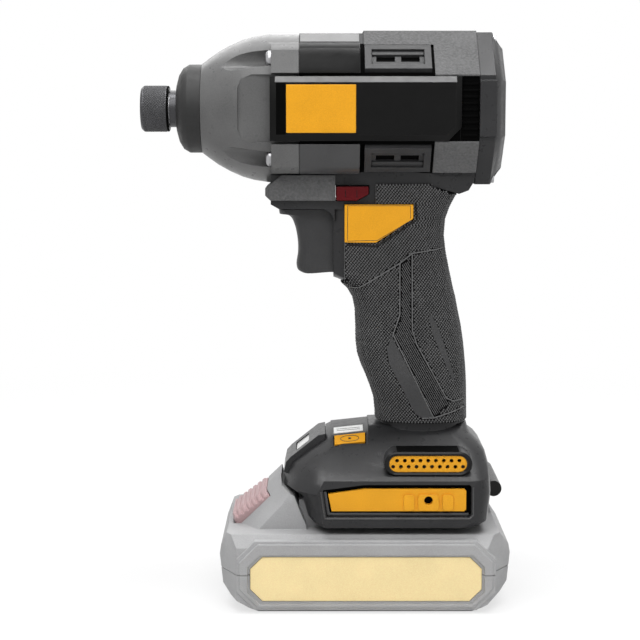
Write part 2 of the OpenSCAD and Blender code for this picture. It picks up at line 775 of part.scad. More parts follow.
module case_bolts()
    color(steel) for (sy = [-1, 1], sz = [-1, 1]) difference() {
        union() {
            rod_x(head_front_x - bolt_depth, flange_front_x + 0.5, bolt_r, [sy * bolt_y, sz * bolt_z]);
            translate([flange_front_x, sy * bolt_y, axis_z + sz * bolt_z])
                rotate([0, 90, 0]) rotate_extrude()
                polygon([[0, 0], [bolt_head_r, 0], [bolt_head_r, 1], [bolt_head_r - 0.6, bolt_head_h - 0.4],
                    [bolt_head_r - 1.3, bolt_head_h], [0, bolt_head_h]]);
        }
        translate([flange_front_x + 0.8, sy * bolt_y, axis_z + sz * bolt_z]) rotate([0, 90, 0])
            cylinder(r = 1.5, h = 3, $fn = 6);
    }

// Side panels and plates

panel_y = head_w / 2 + 0.2;
panel_out_y = head_w / 2 + 4;
badge_front_x = flange_front_x + 0.4;
badge_rear_x = head_rear_x + 6.8;
name_front_x = badge_front_x - 6.2;
name_len = 26.2;
name_half_h = head_side_flat - 3.4;

module badge_panels()
    color(body_black) both_sides() difference() {
        union() {
            prism_y(panel_y, panel_out_y - 0.9, badge_outline(0));
            translate([head_front_x + 0.4, side_flat_y + seat_gap, axis_z - head_side_flat + 0.8])
                cube([badge_front_x - head_front_x - 1.4, panel_y - side_flat_y, 2 * head_side_flat - 1.6]);
            prism_y(panel_out_y - 1, panel_out_y, badge_outline(-1));
        }
        prism_y(panel_out_y - 0.8, panel_out_y + 1, name_outline(seat_gap));
    }

// The outlines of the badge panel and the name plate as [x, z], grown by o
function badge_outline(o) =
    let (h = badge_half_h + o, f = badge_front_x + o, r = badge_rear_x - o)
    [[f, axis_z + h - 1], [f - 1, axis_z + h], [r + 1, axis_z + h], [r, axis_z + h - 1],
     [r, axis_z - h + 5], [r + 5, axis_z - h], [f - 1, axis_z - h], [f, axis_z - h + 1]];
function name_outline(o) =
    let (h = name_half_h + o, f = name_front_x + o, r = name_front_x - name_len - o)
    [[f, axis_z + h], [r, axis_z + h], [r, axis_z - h], [f, axis_z - h]];

module name_plates()
    color(yellow) both_sides()
        prism_y(panel_out_y - 0.8 + seat_gap, panel_out_y + 0.2, name_outline(0));

// Vent inserts on the head's diagonals
vent_front_x = 0.8;
vent_rear_x = -24.4;

module head_vents()
    color(soft_grey) both_sides() {
        vent_insert();
        mirror_rail() vent_insert();
    }

module vent_insert()
    difference() {
        prism_x(vent_rear_x, vent_front_x, vent_outline(seat_gap, 2.4));
        prism_x(vent_rear_x + 2.6, vent_front_x - 2.6, vent_window(1.6));
        vent_slots();
    }

module vent_slots()
    for (x = [vent_rear_x + 4.4, vent_front_x - 11.4]) prism_x(x, x + 7, vent_window(9));

// A vent's outline on the head's upper left slope, standing proud by t
function vent_outline(o, t) =
    let (a = head_outline(o)[0], b = head_outline(o)[1], d = (b - a) / norm(b - a), n = [-d[1], d[0]])
    [a + d * 9.6, a + d * 9.6 + n * t, b - d * 1.2 + n * t, b - d * 1.2];
function vent_window(depth) =
    let (a = head_outline(0)[0], b = head_outline(0)[1], d = (b - a) / norm(b - a), n = [-d[1], d[0]])
    [a + d * 12 + n * (2.6 - depth), a + d * 12 + n * 6,
     b - d * 3.6 + n * 6, b - d * 3.6 + n * (2.6 - depth)];

// Foot

// A stadium about [x, z] as points, with round ends
function stadium(x, z, half_l, half_h) = concat(
    [for (a = [-90 : 15 : 90]) [x + half_l - half_h + half_h * cos(a), z + half_h * sin(a)]],
    [for (a = [90 : 15 : 270]) [x - half_l + half_h + half_h * cos(a), z + half_h * sin(a)]]);

// A rectangle in [x, z] with cut corners
function cut_box(x0, x1, z0, z1, cut) = [[x0 + cut, z0], [x1 - cut, z0], [x1, z0 + cut], [x1, z1 - cut],
    [x1 - cut, z1], [x0 + cut, z1], [x0, z1 - cut], [x0, z0 + cut]];

// The boss that carries a vent grille on the foot's slope
module grille_boss()
    prism_y(grille_y - 18, grille_y, stadium(grille_x, grille_z, grille_len / 2 + 2, grille_h / 2 + 1.6));

module grille_recess() {
    prism_y(grille_y - grille_t - seat_gap, grille_y + 20,
        stadium(grille_x, grille_z, grille_len / 2 + seat_gap, grille_h / 2 + seat_gap));
    prism_y(grille_y - 16, grille_y, stadium(grille_x, grille_z, grille_len / 2 - 1.4, grille_h / 2 - 1));
}

module foot_vents()
    color(yellow) both_sides() difference() {
        prism_y(grille_y - grille_t, grille_y - 0.3,
            stadium(grille_x, grille_z, grille_len / 2, grille_h / 2));
        for (row = [0, 1], k = [0 : 8 + row])
            rod_y(grille_y - 4, grille_y + 2, grille_hole_r,
                [grille_x + (k - 4 - row / 2) * grille_pitch, grille_z + (row == 0 ? 1.3 : -1.1)]);
    }

// The side plate's outline as [x, z], with its slanted front end, grown by o
function accessory_outline(o) =
    let (low = accessory_low_z - o, high = accessory_high_z + 0.8 * o, rear = accessory_rear_x - o)
    [[rear, low + 0.8], [rear + 0.8, low], [accessory_front_x - 1.4 + o, low],
     [accessory_front_x + o, high - 2], [accessory_front_x - 14, high], [rear + 0.8, high],
     [rear, high - 0.8]];

// The recess on the foot's side and the block behind it
module accessory_recess() {
    prism_y(accessory_y - accessory_t - seat_gap, 60, accessory_outline(2));
    rod_y(accessory_y - accessory_t - 5, 60, hook_hole_r, [hook_hole_x, accessory_z]);
}

module accessory_boss()
    prism_y(boss_y, foot_half_w, cut_box(
        accessory_rear_x - 3, accessory_front_x + 3, accessory_low_z - 2, accessory_high_z + 3, 1));

module accessory_plates()
    color(yellow) both_sides() difference() {
        union() {
            prism_y(accessory_y - accessory_t, accessory_y - 0.8, accessory_outline(0));
            for (part = [[-9.6, -5.4], [-4, 4], [5.4, 9.6]])
                prism_y(accessory_y - accessory_t, accessory_y, cut_box(hook_hole_x + part[0],
                    hook_hole_x + part[1], accessory_low_z + 0.4, accessory_high_z - 2.2, 0.8));
        }
        rod_y(accessory_y - 10, accessory_y + 10, hook_hole_r, [hook_hole_x, accessory_z]);
    }

// Belt hook on the right side, with a round bar behind the foot
hook_t = 2;
hook_gap = 8;
hook_in_y = -foot_half_w - move_gap;
hook_arm_y = hook_in_y - hook_t - hook_gap;
hook_bend_x = foot_rear_x + 4;
hook_bend_r = hook_gap / 2 + hook_t;
hook_z0 = foot_z + 2.4;
hook_z1 = accessory_high_z + 1.2;
hook_end_x = 6;
hook_flare = [7.6, -2.4];
hook_pad_y = -accessory_y - seat_gap;
hook_bar_r = 3.2;
hook_bar_y = 0;
hook_bar = [foot_rear_x - hook_bar_r - 1.1, accessory_z - 3.3];

// The outer arm seen from above, with its flared end, as [x, y]
hook_arm = [[hook_bend_x, hook_arm_y], [hook_end_x, hook_arm_y], [hook_end_x, hook_arm_y] + hook_flare,
    [hook_end_x, hook_arm_y - hook_t] + hook_flare, [hook_end_x, hook_arm_y - hook_t],
    [hook_bend_x, hook_arm_y - hook_t]];

// The inner leg seen from the side, out to the bar, as [x, z]
hook_leg = [[hook_hole_x + 8, hook_z0], [hook_hole_x + 8, hook_z1], [hook_bend_x, hook_z1],
    hook_bar + [0, hook_bar_r], hook_bar - [0, hook_bar_r], [hook_bend_x, hook_z0]];

module belt_hook()
    color(dark_steel) difference() {
        union() {
            prism_y(hook_in_y - hook_t, hook_in_y, hook_leg);
            rod_y(hook_in_y - hook_t, hook_bar_y, hook_bar_r, hook_bar);
            translate([hook_hole_x - 4.4, hook_in_y - 1, accessory_z - 3.4])
                cube([8.8, hook_pad_y - hook_in_y + 1, 6.8]);
            prism_z(hook_z0, hook_z1, hook_arm);
            intersection() {
                translate([hook_bend_x, hook_in_y - hook_bend_r, hook_z0]) difference() {
                    cylinder(r = hook_bend_r, h = hook_z1 - hook_z0);
                    translate([0, 0, -1]) cylinder(r = hook_bend_r - hook_t, h = hook_z1 - hook_z0 + 2);
                }
                translate([hook_bend_x - 20, hook_in_y - 30, hook_z0 - 1]) cube([20, 40, 40]);
            }
        }
        rod_y(hook_in_y - hook_t - 1, hook_pad_y + 1, hook_hole_r + 0.2, [hook_hole_x, accessory_z]);
    }

module hook_screw()
    color(steel) difference() {
        union() {
            rod_y(hook_in_y - hook_t, -boss_y - 0.5, hook_hole_r - run_gap, [hook_hole_x, accessory_z]);
            rod_y(hook_in_y - hook_t - 2, hook_in_y - hook_t, 3.2, [hook_hole_x, accessory_z]);
        }
        rod_y(hook_in_y - hook_t - 3, hook_in_y - hook_t - 0.8, 1.5, [hook_hole_x, accessory_z], $fn = 6);
    }

// Lamp block on the foot's front slope, from the slope's upper and lower end as [x, z]
lamp_top = [18.4, foot_z + 32];
lamp_low = [foot_front_x - 2.4, foot_z + 23.4];
lamp_t = 4;

// A point of the lamp's slope, s along it and d out of it
function lamp_point(s, d) =
    let (along = (lamp_low - lamp_top) / norm(lamp_low - lamp_top))
    lamp_top + s * along + d * [-along[1], along[0]];
function lamp_outline(o, lift = 0) = [[lamp_top[0] - 2.8 - o, lamp_top[1] + 0.6 + lift],
    lamp_top + [0, lift], lamp_low,
    lamp_low + [2, -2.2], lamp_low + [2.9, -6.2 - o], lamp_low + [0.4 - o, -7 - o],
    lamp_point(norm(lamp_low - lamp_top), -lamp_t - o), lamp_point(0, -lamp_t - o),
    [lamp_top[0] - 2.8 - o, lamp_top[1] - 4.6 - o]];

// The lens lies in the slope, lens_sink below its face
lens_from = 5;
lens_to = 11.4;
lens_sink = 0.4;
lens_t = 1.6;
lens_half_w = 7;
function lens_outline(o, rise) = [lamp_point(lens_from - o, rise), lamp_point(lens_to + o, rise),
    lamp_point(lens_to + o, -lens_sink - lens_t - o), lamp_point(lens_from - o, -lens_sink - lens_t - o)];

module lamp_housing()
    color(body_black) difference() {
        prism_y(-lamp_half_w, lamp_half_w, lamp_outline(0));
        prism_y(-lens_half_w - seat_gap, lens_half_w + seat_gap, lens_outline(seat_gap, 2));
    }

module lamp_lens() color(white) prism_y(-lens_half_w, lens_half_w, lens_outline(0, -lens_sink));

// Control panel, as [y, z] over the foot's ridge
panel_ridge = [[6, foot_z + 36.1], [14, foot_z + 34], [19, foot_z + 30.1]];

function panel_chain(drop) = [for (p = panel_ridge) p - [0.35 * drop, drop]];
function panel_outline(o, lift) =
    let (upper = panel_chain(-lift), lower = panel_chain(panel_t + o))
    concat([for (i = [2 : -1 : 0]) [-upper[i][0], upper[i][1]]], upper,
        [for (i = [2 : -1 : 0]) lower[i]], [for (p = lower) [-p[0], p[1]]]);

// A strip of the panel's left slope between shares s0 and s1, from depth d to height h, as [y, z]
function slope_strip(s0, s1, d, h) =
    let (a = panel_ridge[1], b = panel_ridge[2], n = [b[1] - a[1], a[0] - b[0]] / -norm(b - a))
    [a + (b - a) * s0 - n * d, a + (b - a) * s0 + n * h,
     a + (b - a) * s1 + n * h, a + (b - a) * s1 - n * d];

module control_panel()
    color(soft_grey) difference() {
        prism_x(panel_rear_x, panel_front_x, panel_outline(0, 0));
        prism_x(button_rear_x, button_front_x,
            slope_strip(button_from - 0.06, button_to + 0.06, panel_t + 3, 3));
        prism_x(button_rear_x + 1, button_front_x, window_strip(seat_gap));
    }

// The white window above the button
function window_strip(o) =
    let (a = panel_ridge[0], b = panel_ridge[1], n = [b[1] - a[1], a[0] - b[0]] / -norm(b - a))
    [a + (b - a) * 0.25 - n * (0.5 + o), a + (b - a) * 0.25 + n * 0.15, a + (b - a) * 0.9 + n * 0.15,
     a + (b - a) * 0.9 - n * (0.5 + o)];

module mode_window()
    color(white) prism_x(button_rear_x + 1 + seat_gap, button_front_x - seat_gap, window_strip(0));

module mode_button()
    color(yellow) prism_x(button_rear_x + move_gap, button_front_x - move_gap,
        slope_strip(button_from, button_to, panel_t, mode_travel + 0.3));

// Trigger group
trigger_z = head_z - trigger_drop;
trigger_rear_x = guard_rear_x - trigger_overlap;
switch_front_x = trigger_rear_x - trigger_travel - 1.8;
switch_rear_x = switch_front_x - 22;
plunger_r = 2.4;
plunger_z = trigger_z - 9;

module trigger()
    color(case_grey) union() {
        prism_y(-trigger_half_w, trigger_half_w, [
            [34, trigger_z], [33.6, trigger_z - 2], [28.8, trigger_z - 3], [27.3, trigger_z - 7],
            [26.5, trigger_z - 12], [26.5, trigger_z - 17], [27.1, trigger_z - 21],
            [26.6, trigger_z - 23.6], [24.4, trigger_z - trigger_h], [14, trigger_z - trigger_h + 0.6],
            [trigger_rear_x, trigger_z - trigger_h + 0.6], [trigger_rear_x, trigger_z]]);
        translate([switch_front_x - 2, 0, plunger_z]) rotate([0, 90, 0])
            cylinder(r = plunger_r, h = trigger_rear_x - switch_front_x + 3);
    }

module trigger_switch()
    color(body_black) difference() {
        translate([switch_rear_x, -switch_half_w, trigger_z - 22])
            cube([switch_front_x - switch_rear_x, 2 * switch_half_w, 18]);
        translate([switch_front_x - 2 - trigger_travel - 1, 0, plunger_z]) rotate([0, 90, 0])
            cylinder(r = plunger_r + move_gap, h = 30);
    }

module trigger_spring()
    color(steel) translate([switch_front_x + seat_gap, 0, plunger_z]) rotate([0, 90, 0])
        coil(plunger_r + 1.2, 0.4, trigger_rear_x - switch_front_x - 2 * seat_gap, 2.5);

// The selector's outline as [x, z], grown by o
function selector_outline(o) =
    let (top = head_z - selector_drop + o, low = head_z - selector_drop - selector_h - o)
    [[selector_front_x + o, top], [selector_rear_x - o, top],
     [selector_rear_x - o, head_z - selector_drop - 3 - 0.4 * o],
     [selector_rear_x + 4.6 - 0.4 * o, low], [selector_front_x + o, low]];

module direction_selector()
    color(selector_red) prism_y(-selector_half_l, selector_half_l, selector_outline(0));

// Anvil and collet
socket_floor_x = anvil_front_x - bit_depth;
ball_x = collet_rear_x + 1.6;
ball_r = 1.6;
ball_orbit = anvil_r - ball_r - 0.05;
ring_t = 0.8;
spring_solid = 2.5;
sleeve_land = anvil_front_x - ring_t - collet_rear_x - collet_travel - spring_solid;
sleeve_chamber_r = collet_r - 1.2;
flute_count = 30;
flute_r = 0.55;

module anvil()
    color(steel) difference() {
        union() {
            rod_x(anvil_rear_x, anvil_front_x, anvil_r);
            intersection() {
                rod_x(anvil_rear_x, anvil_rear_x + lug_t, anvil_lug_r);
                translate([anvil_rear_x - 1, -anvil_lug_r - 1, axis_z - anvil_lug_w / 2])
                    cube([lug_t + 2, 2 * anvil_lug_r + 2, anvil_lug_w]);
            }
            rod_x(anvil_rear_x, anvil_rear_x + lug_t, anvil_hub_r);
        }
        rod_x(anvil_rear_x - 1, anvil_rear_x + lug_t + 0.6, pilot_r + run_gap);
        translate([socket_floor_x, 0, axis_z]) rotate([0, 90, 0])
            cylinder(r = bit_hex / 2 / cos(30), h = bit_depth + 1, $fn = 6);
        for (side = [0, 180])
            translate([ball_x, 0, axis_z]) rotate([side, 0, 0])
                cylinder(r = ball_r + run_gap, h = anvil_r + 1);
    }

module detent_balls()
    color(steel) for (side = [-1, 1]) translate([ball_x, 0, axis_z + side * ball_orbit]) sphere(r = ball_r);

module anvil_bush()
    color(steel) difference() {
        union() {
            rod_x(cavity_front_x + seat_gap, spigot_front_x, bush_r);
            rod_x(cavity_front_x + seat_gap, collet_rear_x - move_gap, bush_neck_r);
        }
        rod_x(cavity_front_x - 1, collet_rear_x, anvil_r + run_gap);
    }

module collet_sleeve()
    color(dark_steel) difference() {
        turned([[collet_rear_x, anvil_r + run_gap], [collet_rear_x, collet_r - 0.7],
            [collet_rear_x + 0.7, collet_r], [collet_front_x - 0.8, collet_r],
            [collet_front_x, collet_r - 0.8], [collet_front_x, sleeve_chamber_r],
            [collet_rear_x + sleeve_land, sleeve_chamber_r],
            [collet_rear_x + sleeve_land, anvil_r + run_gap]]);
        for (k = [0 : flute_count - 1])
            rod_x(collet_rear_x + 2, collet_front_x - 2.2, flute_r,
                (collet_r + 0.2) * [cos(360 * k / flute_count), sin(360 * k / flute_count)]);
    }

module collet_ring()
    color(steel) ring_x(anvil_front_x - ring_t, anvil_front_x, sleeve_chamber_r - move_gap / 2,
        anvil_r + seat_gap / 2);

module collet_spring()
    color(steel) translate([collet_rear_x + sleeve_land + seat_gap, 0, axis_z]) rotate([0, 90, 0])
        coil(anvil_r + 0.85, 0.4, anvil_front_x - ring_t - collet_rear_x - sleeve_land - 2 * seat_gap, 2.5);

// Hammer and its cam
module hammer()
    color(dark_steel) difference() {
        union() {
            rod_x(hammer_rear_x, hammer_front_x, hammer_r);
            for (k = [0, 1])
                translate([hammer_front_x - 1, 0, axis_z]) rotate([hammer_lug_angle + 180 * k, 0, 0])
                translate([0, hammer_lug_in, -hammer_lug_w / 2])
                    cube([lug_t + 0.6, hammer_lug_out - hammer_lug_in, hammer_lug_w]);
        }
        rod_x(hammer_rear_x - 1, hammer_front_x + 1, cam_r + run_gap);
        difference() {
            rod_x(hammer_rear_x - 1, spring_seat_x, hammer_bore_r);
            rod_x(hammer_rear_x - 2, spring_seat_x + 1, hammer_hub_r);
        }
        for (side = [-1, 1])
            rod_x(hammer_rear_x - 1, hammer_front_x + 1, cam_ball_r + move_gap / 2,
                [0, side * cam_ball_orbit]);
    }

module hammer_spring()
    color(steel) translate([carrier_front_x + seat_gap, 0, axis_z]) rotate([0, 90, 0])
        coil((hammer_hub_r + hammer_bore_r) / 2, 1.3, spring_seat_x - carrier_front_x - 2 * seat_gap, 3.5);

module cam_balls()
    color(steel) for (side = [-1, 1])
        translate([cam_ball_x, 0, axis_z + side * cam_ball_orbit]) sphere(r = cam_ball_r);

module cam_carrier()
    color(dark_steel) difference() {
        union() {
            rod_x(carrier_rear_x, carrier_front_x, carrier_r);
            rod_x(carrier_hub_rear_x, carrier_rear_x + 1, bearing_in_r - run_gap);
            rod_x(carrier_front_x - 1, anvil_rear_x - 0.4, cam_r);
            rod_x(carrier_front_x, anvil_rear_x + lug_t - 0.4, pilot_r);
        }
        rod_x(carrier_hub_rear_x - 1, planet_front_x + 0.5, sun_tip_r + move_gap);
        for (k = [0 : planet_count - 1]) {
            rod_x(planet_rear_x - move_gap / 2, planet_front_x + move_gap / 2,
                planet_tip_r + move_gap, planet_at(k));
            rod_x(carrier_rear_x - 1, carrier_front_x - 0.6, planet_pin_r + run_gap, planet_at(k));
        }
        for (side = [-1, 1])
            translate([cam_ball_x, 0, axis_z + side * cam_ball_orbit]) sphere(r = cam_ball_r + run_gap);
    }

module planet_pins()
    color(steel) for (k = [0 : planet_count - 1])
        rod_x(carrier_rear_x + 0.3, carrier_front_x - 0.7, planet_pin_r, planet_at(k));

module planet_gear(k)
    color(steel) difference() {
        prism_x(planet_rear_x, planet_front_x, moved(gear_outline(planet_teeth,
            gear_module * planet_teeth / 2 - gear_dedendum, planet_tip_r, gear_backlash,
            planet_turn(360 * k / planet_count)), planet_at(k) + [0, axis_z]));
        rod_x(planet_rear_x - 1, planet_front_x + 1, planet_pin_r + run_gap, planet_at(k));
    }

// A planet's turn at angle a round the sun
function planet_turn(a) = a * (1 + sun_teeth / planet_teeth) + 180 / planet_teeth;

module planet_gear_1() planet_gear(0);
module planet_gear_2() planet_gear(1);
module planet_gear_3() planet_gear(2);

module ring_gear()
    color(dark_steel) difference() {
        rod_x(planet_rear_x - 0.6, plate_front_x - 0.3, ring_out_r);
        prism_x(planet_rear_x - 2, plate_front_x + 1, moved(gear_outline(ring_teeth,
            gear_module * ring_teeth / 2 - gear_addendum, ring_root_r, -gear_backlash,
            180 / ring_teeth), [0, axis_z]));
    }

module carrier_bearing()
    color(steel) ring_x(carrier_hub_rear_x, carrier_rear_x - 0.2, bearing_out_r, bearing_in_r);

// The plate that closes the gear case and carries the ring gear and two bearings
module bearing_plate()
    color(case_grey) difference() {
        union() {
            rod_x(plate_rear_x, plate_front_x, motor_bore_r - seat_gap);
            rod_x(plate_rear_x - motor_bearing_t, plate_rear_x + 1, motor_bearing_r + 2.4);
        }
        rod_x(planet_rear_x - 0.7, plate_front_x + 1, ring_out_r + seat_gap);
        rod_x(carrier_rear_x - 0.4, planet_rear_x, carrier_r + 1);
        rod_x(plate_rear_x + plate_wall, carrier_rear_x, bearing_out_r + seat_gap);
        rod_x(plate_rear_x - motor_bearing_t - 1, plate_rear_x, motor_bearing_r + seat_gap);
        rod_x(plate_rear_x - 1, plate_front_x, sun_tip_r + 1.4);
    }

// Motor
shaft_rear_x = rear_bearing_x - motor_bearing_t + 0.4;

module rotor_shaft()
    color(steel) union() {
        rod_x(shaft_rear_x, planet_rear_x, rotor_shaft_r);
        prism_x(planet_rear_x - 0.8, planet_front_x, moved(gear_outline(sun_teeth,
            gear_module * sun_teeth / 2 - gear_dedendum, sun_tip_r, gear_backlash), [0, axis_z]));
    }

module rotor_core()
    color(dark_steel) ring_x(stator_rear_x - 1, stator_front_x + 1, rotor_r, rotor_shaft_r + run_gap);

module fan()
    color(body_black) difference() {
        union() {
            rod_x(fan_front_x - fan_len, fan_front_x, 6);
            rod_x(fan_front_x - fan_len, fan_front_x - fan_len + 1.4, fan_r);
            for (k = [0 : fan_blades - 1])
                translate([fan_front_x - fan_len, 0, axis_z]) rotate([360 * k / fan_blades, 0, 0])
                translate([0, -0.6, 5]) cube([fan_len - 1, 1.2, fan_r - 6]);
        }
        rod_x(fan_front_x - fan_len - 1, fan_front_x + 1, rotor_shaft_r + run_gap);
    }

module motor_bearings()
    color(steel) {
        for (x = [plate_rear_x - seat_gap, rear_bearing_x])
            ring_x(x - motor_bearing_t + seat_gap, x, motor_bearing_r, rotor_shaft_r + run_gap);
    }

module stator_core()
    color(dark_steel) difference() {
        rod_x(stator_rear_x, stator_front_x, motor_bore_r - seat_gap);
        difference() {
            rod_x(stator_rear_x - 1, stator_front_x + 1, back_iron_r);
            for (k = [0 : tooth_count - 1])
                translate([stator_rear_x - 2, 0, axis_z]) rotate([360 * k / tooth_count, 0, 0])
                translate([0, -tooth_w / 2, 0]) cube([stator_len + 4, tooth_w, motor_bore_r]);
        }
        rod_x(stator_rear_x - 1, stator_front_x + 1, rotor_r + air_gap);
    }

module stator_coils()
    color(copper) for (k = [0 : tooth_count - 1])
        translate([0, 0, axis_z]) rotate([360 * k / tooth_count, 0, 0]) difference() {
            translate([stator_rear_x - coil_over, -coil_half_w, coil_in_r])
                cube([stator_len + 2 * coil_over, 2 * coil_half_w, coil_out_r - coil_in_r]);
            translate([stator_rear_x - seat_gap, -tooth_w / 2 - seat_gap, coil_in_r - 1])
                cube([stator_len + 2 * seat_gap, tooth_w + 2 * seat_gap, coil_out_r]);
        }

module sensor_board()
    color(board_green) ring_x(stator_front_x + coil_over + 0.3, stator_front_x + coil_over + 1.9,
        motor_bore_r - seat_gap, motor_bearing_r + 3);

// Electrics in the foot
module control_module()
    color(dark_steel) difference() {
        translate([module_rear_x, -boss_y + 0.2, module_z]) cube([module_len, 2 * (boss_y - 0.2), 7.6]);
        translate([module_rear_x + 3, -boss_y + 3, module_z + 5.4])
            cube([module_len - 6, 2 * boss_y - 6, 4]);
    }

blade_ys = [-12, -4, 4, 12];
blade_z0 = pack_h + 4.6;
blade_h = 4.4;
blade_t = 0.8;
blade_len = 12;

module terminal_block()
    color(body_black) union() {
        translate([tower_rear_x - passage_back + seat_gap, -16, pack_h + 3.4])
            cube([passage_back - 2 * move_gap, 32, 7]);
        for (y = blade_ys)
            translate([tower_rear_x - 1, y - blade_t / 2, blade_z0]) cube([blade_len, blade_t, blade_h]);
    }

// Screws
module screw_x(x0, length, at) {
    rod_x(x0 - screw_head_h, x0 + length, screw_r, at);
    rod_x(x0 - screw_head_h, x0, screw_head_r, at);
}

module housing_screws()
    color(steel) {
        for (sy = [-1, 1], sz = [-1, 1])
            screw_x(cap_rear_x + 5 - seat_gap, 14, [sy * cap_screw_y, sz * (head_h / 2 - cap_screw_inset)]);
        for (s = joint_screws) {
            seat_y = -s[2] + 4 - seat_gap;
            rod_y(seat_y - screw_head_h, s[2] - 4, screw_r, [s[0], s[1]]);
            rod_y(seat_y - screw_head_h, seat_y, screw_head_r, [s[0], s[1]]);
        }
    }

// Pack

// The pack's outlines from above, from the side and from the front, taken in by i
function pack_plan(i) =
    let (half = [[pack_front_x - i, 24], [pack_front_x - 7 - 0.5 * i, pack_half_w - i],
        [pack_rear_x + 10 + 0.5 * i, pack_half_w - i], [pack_rear_x + i, 22]])
    concat(half, [for (k = [3 : -1 : 0]) [half[k][0], -half[k][1]]]);
function pack_side(i) = let (f = pack_front_x - i, r = pack_rear_x + i)
    [[f - 15.4, i], [f - 4.6, 6 + 0.4 * i], [f - 1.4, 9 + 0.2 * i], [f, 20], [f - 0.6, pack_h - 6],
     [f - 3, pack_h - i], [r + 5, pack_h - i], [r + 0.8, pack_h - 6], [r, 20], [r + 1.4, 9 + 0.2 * i],
     [r + 4.6, 6 + 0.4 * i], [r + 16, i]];
function pack_cross(i) =
    let (w = pack_half_w - i, half = [[w - 2, i], [w, 2 + i], [w, pack_h - 4.5], [w - 4, pack_h - i]])
    concat(half, [for (k = [3 : -1 : 0]) [-half[k][0], half[k][1]]]);

module pack_solid(i)
    intersection() {
        prism_z(-1, pack_h + 1, pack_plan(i));
        prism_y(-pack_half_w - 1, pack_half_w + 1, pack_side(i));
        prism_x(pack_rear_x - 1, pack_front_x + 1, pack_cross(i));
    }

module pack_half_space(upper)
    translate([-100, -100, upper ? pack_split_z + seat_gap / 2 : pack_split_z - seat_gap / 2 - 100])
        cube([200, 200, 100]);

function label_outline(o) =
    cut_box(-label_half_l - o, label_half_l + o, label_z0 - o, label_z1 + o, label_cut);
label_half_l = 44.6;
label_z0 = 4.6;
label_z1 = pack_h - 8;
label_cut = 4.7;
frame_t = 1.2;
frame_half_l = 50;
frame_cut = 7.2;

module label_recess() both_sides() prism_y(pack_half_w - label_t, pack_half_w + 5, label_outline(seat_gap));

// The raised frame round a label
module label_frame()
    both_sides() difference() {
        union() {
            prism_y(pack_half_w - 6, pack_half_w + frame_t / 2, frame_outline(0));
            prism_y(pack_half_w - 6, pack_half_w + frame_t, frame_outline(-frame_t));
        }
        prism_y(pack_half_w, pack_half_w + 5, label_outline(1));
    }
function frame_outline(o) =
    cut_box(-frame_half_l - o, frame_half_l + o, 1.2 - o, pack_h - 1.6 + o, frame_cut);

module pack_base()
    color(pack_grey) difference() {
        intersection() {
            union() {
                pack_solid(0);
                label_frame();
            }
            pack_half_space(false);
        }
        pack_solid(pack_wall);
        label_recess();
    }

// The hump in front of the foot, with the upper and lower end of its slope as [x, z]
hump_top = [foot_front_x + 1.6, foot_z + 15.4];
hump_low = [pack_front_x - 3.2, pack_h - 1.6];
hump_outline = [[pack_front_x - 2.9, pack_h - 2], hump_low, hump_top, [foot_front_x + 1.4, foot_z + 14.6],
    [foot_front_x + 1.2, foot_z + 12.4], [foot_front_x - 4, foot_z + 9.8],
    [foot_front_x - 6.6, foot_z + 3.2], [foot_front_x - 8.6, foot_z - 1.2], [foot_front_x - 8.6, pack_h - 2]];

// The slope is flat in the middle and falls off to both sides
hump_flat_w = 11;
hump_fall = 0.68;
hump_slope = (hump_top[1] - hump_low[1]) / (hump_low[0] - hump_top[0]);

module hump_solid()
    difference() {
        intersection() {
            prism_y(-26, 26, hump_outline);
            prism_x(foot_front_x - 20, pack_front_x, [[26, pack_h - 3], [24.5, foot_z + 7], [17, foot_z + 20],
                [-17, foot_z + 20], [-24.5, foot_z + 7], [-26, pack_h - 3]]);
        }
        both_sides() translate([hump_top[0], hump_flat_w, hump_top[1]])
            rotate([0, acos(1 / norm([hump_slope, hump_fall, 1])), atan2(hump_fall, hump_slope)])
            translate([-50, -50, 0]) cube([100, 100, 40]);
    }

module tower_solid()
    difference() {
        translate([tower_rear_x, -tower_half_w, pack_h - 1])
            cube([tower_front_x - tower_rear_x, 2 * tower_half_w, tower_h + 1]);
        both_sides() translate([tower_rear_x - 1, tower_half_w - groove_d, foot_z])
            cube([floor_rail_front_x - tower_rear_x + 3, groove_d + 1, floor_rail_t + 2 * move_gap]);
        for (y = blade_ys) translate([tower_rear_x - 1, y - slot_half_w, blade_z0 - move_gap])
            cube([blade_len + 3, 2 * slot_half_w, blade_h + 2 * move_gap]);
    }
slot_half_w = 1.3;

// The release button's frame: local x runs down the hump's face, local z out of it
release_half_l = 8.8;
release_half_w = 15;
release_depth = 4;
release_proud = [0.6, 2.6, 1.2];
release_share = 0.6;
rib_pitch = 2.4;
rib_depth = 0.6;

module at_release()
    translate([hump_top[0] + release_share * (hump_low[0] - hump_top[0]), 0,
        hump_top[1] + release_share * (hump_low[1] - hump_top[1])])
        rotate([0, atan(hump_slope), 0]) children();

module release_pocket()
    at_release()
        translate([-release_half_l - move_gap, -release_half_w - move_gap,
            -release_depth - release_travel - move_gap])
        cube([2 * (release_half_l + move_gap), 2 * (release_half_w + move_gap), 30]);

// The button's outline across the slope as [y, z], with its crown at height h
function release_cross(h) =
    let (side_h = h - hump_fall * cos(atan(hump_slope)) * (release_half_w - hump_flat_w))
    [[release_half_w, -release_depth], [release_half_w, side_h], [hump_flat_w, h],
     [-hump_flat_w, h], [-release_half_w, side_h], [-release_half_w, -release_depth]];

module release_solid(drop)
    hull() {
        prism_x(-release_half_l, -release_half_l + 0.1, release_cross(release_proud[0] - drop));
        prism_x(release_half_l - 1.8, release_half_l - 1.7, release_cross(release_proud[1] - drop));
        prism_x(release_half_l - 0.1, release_half_l, release_cross(release_proud[2] - drop));
    }

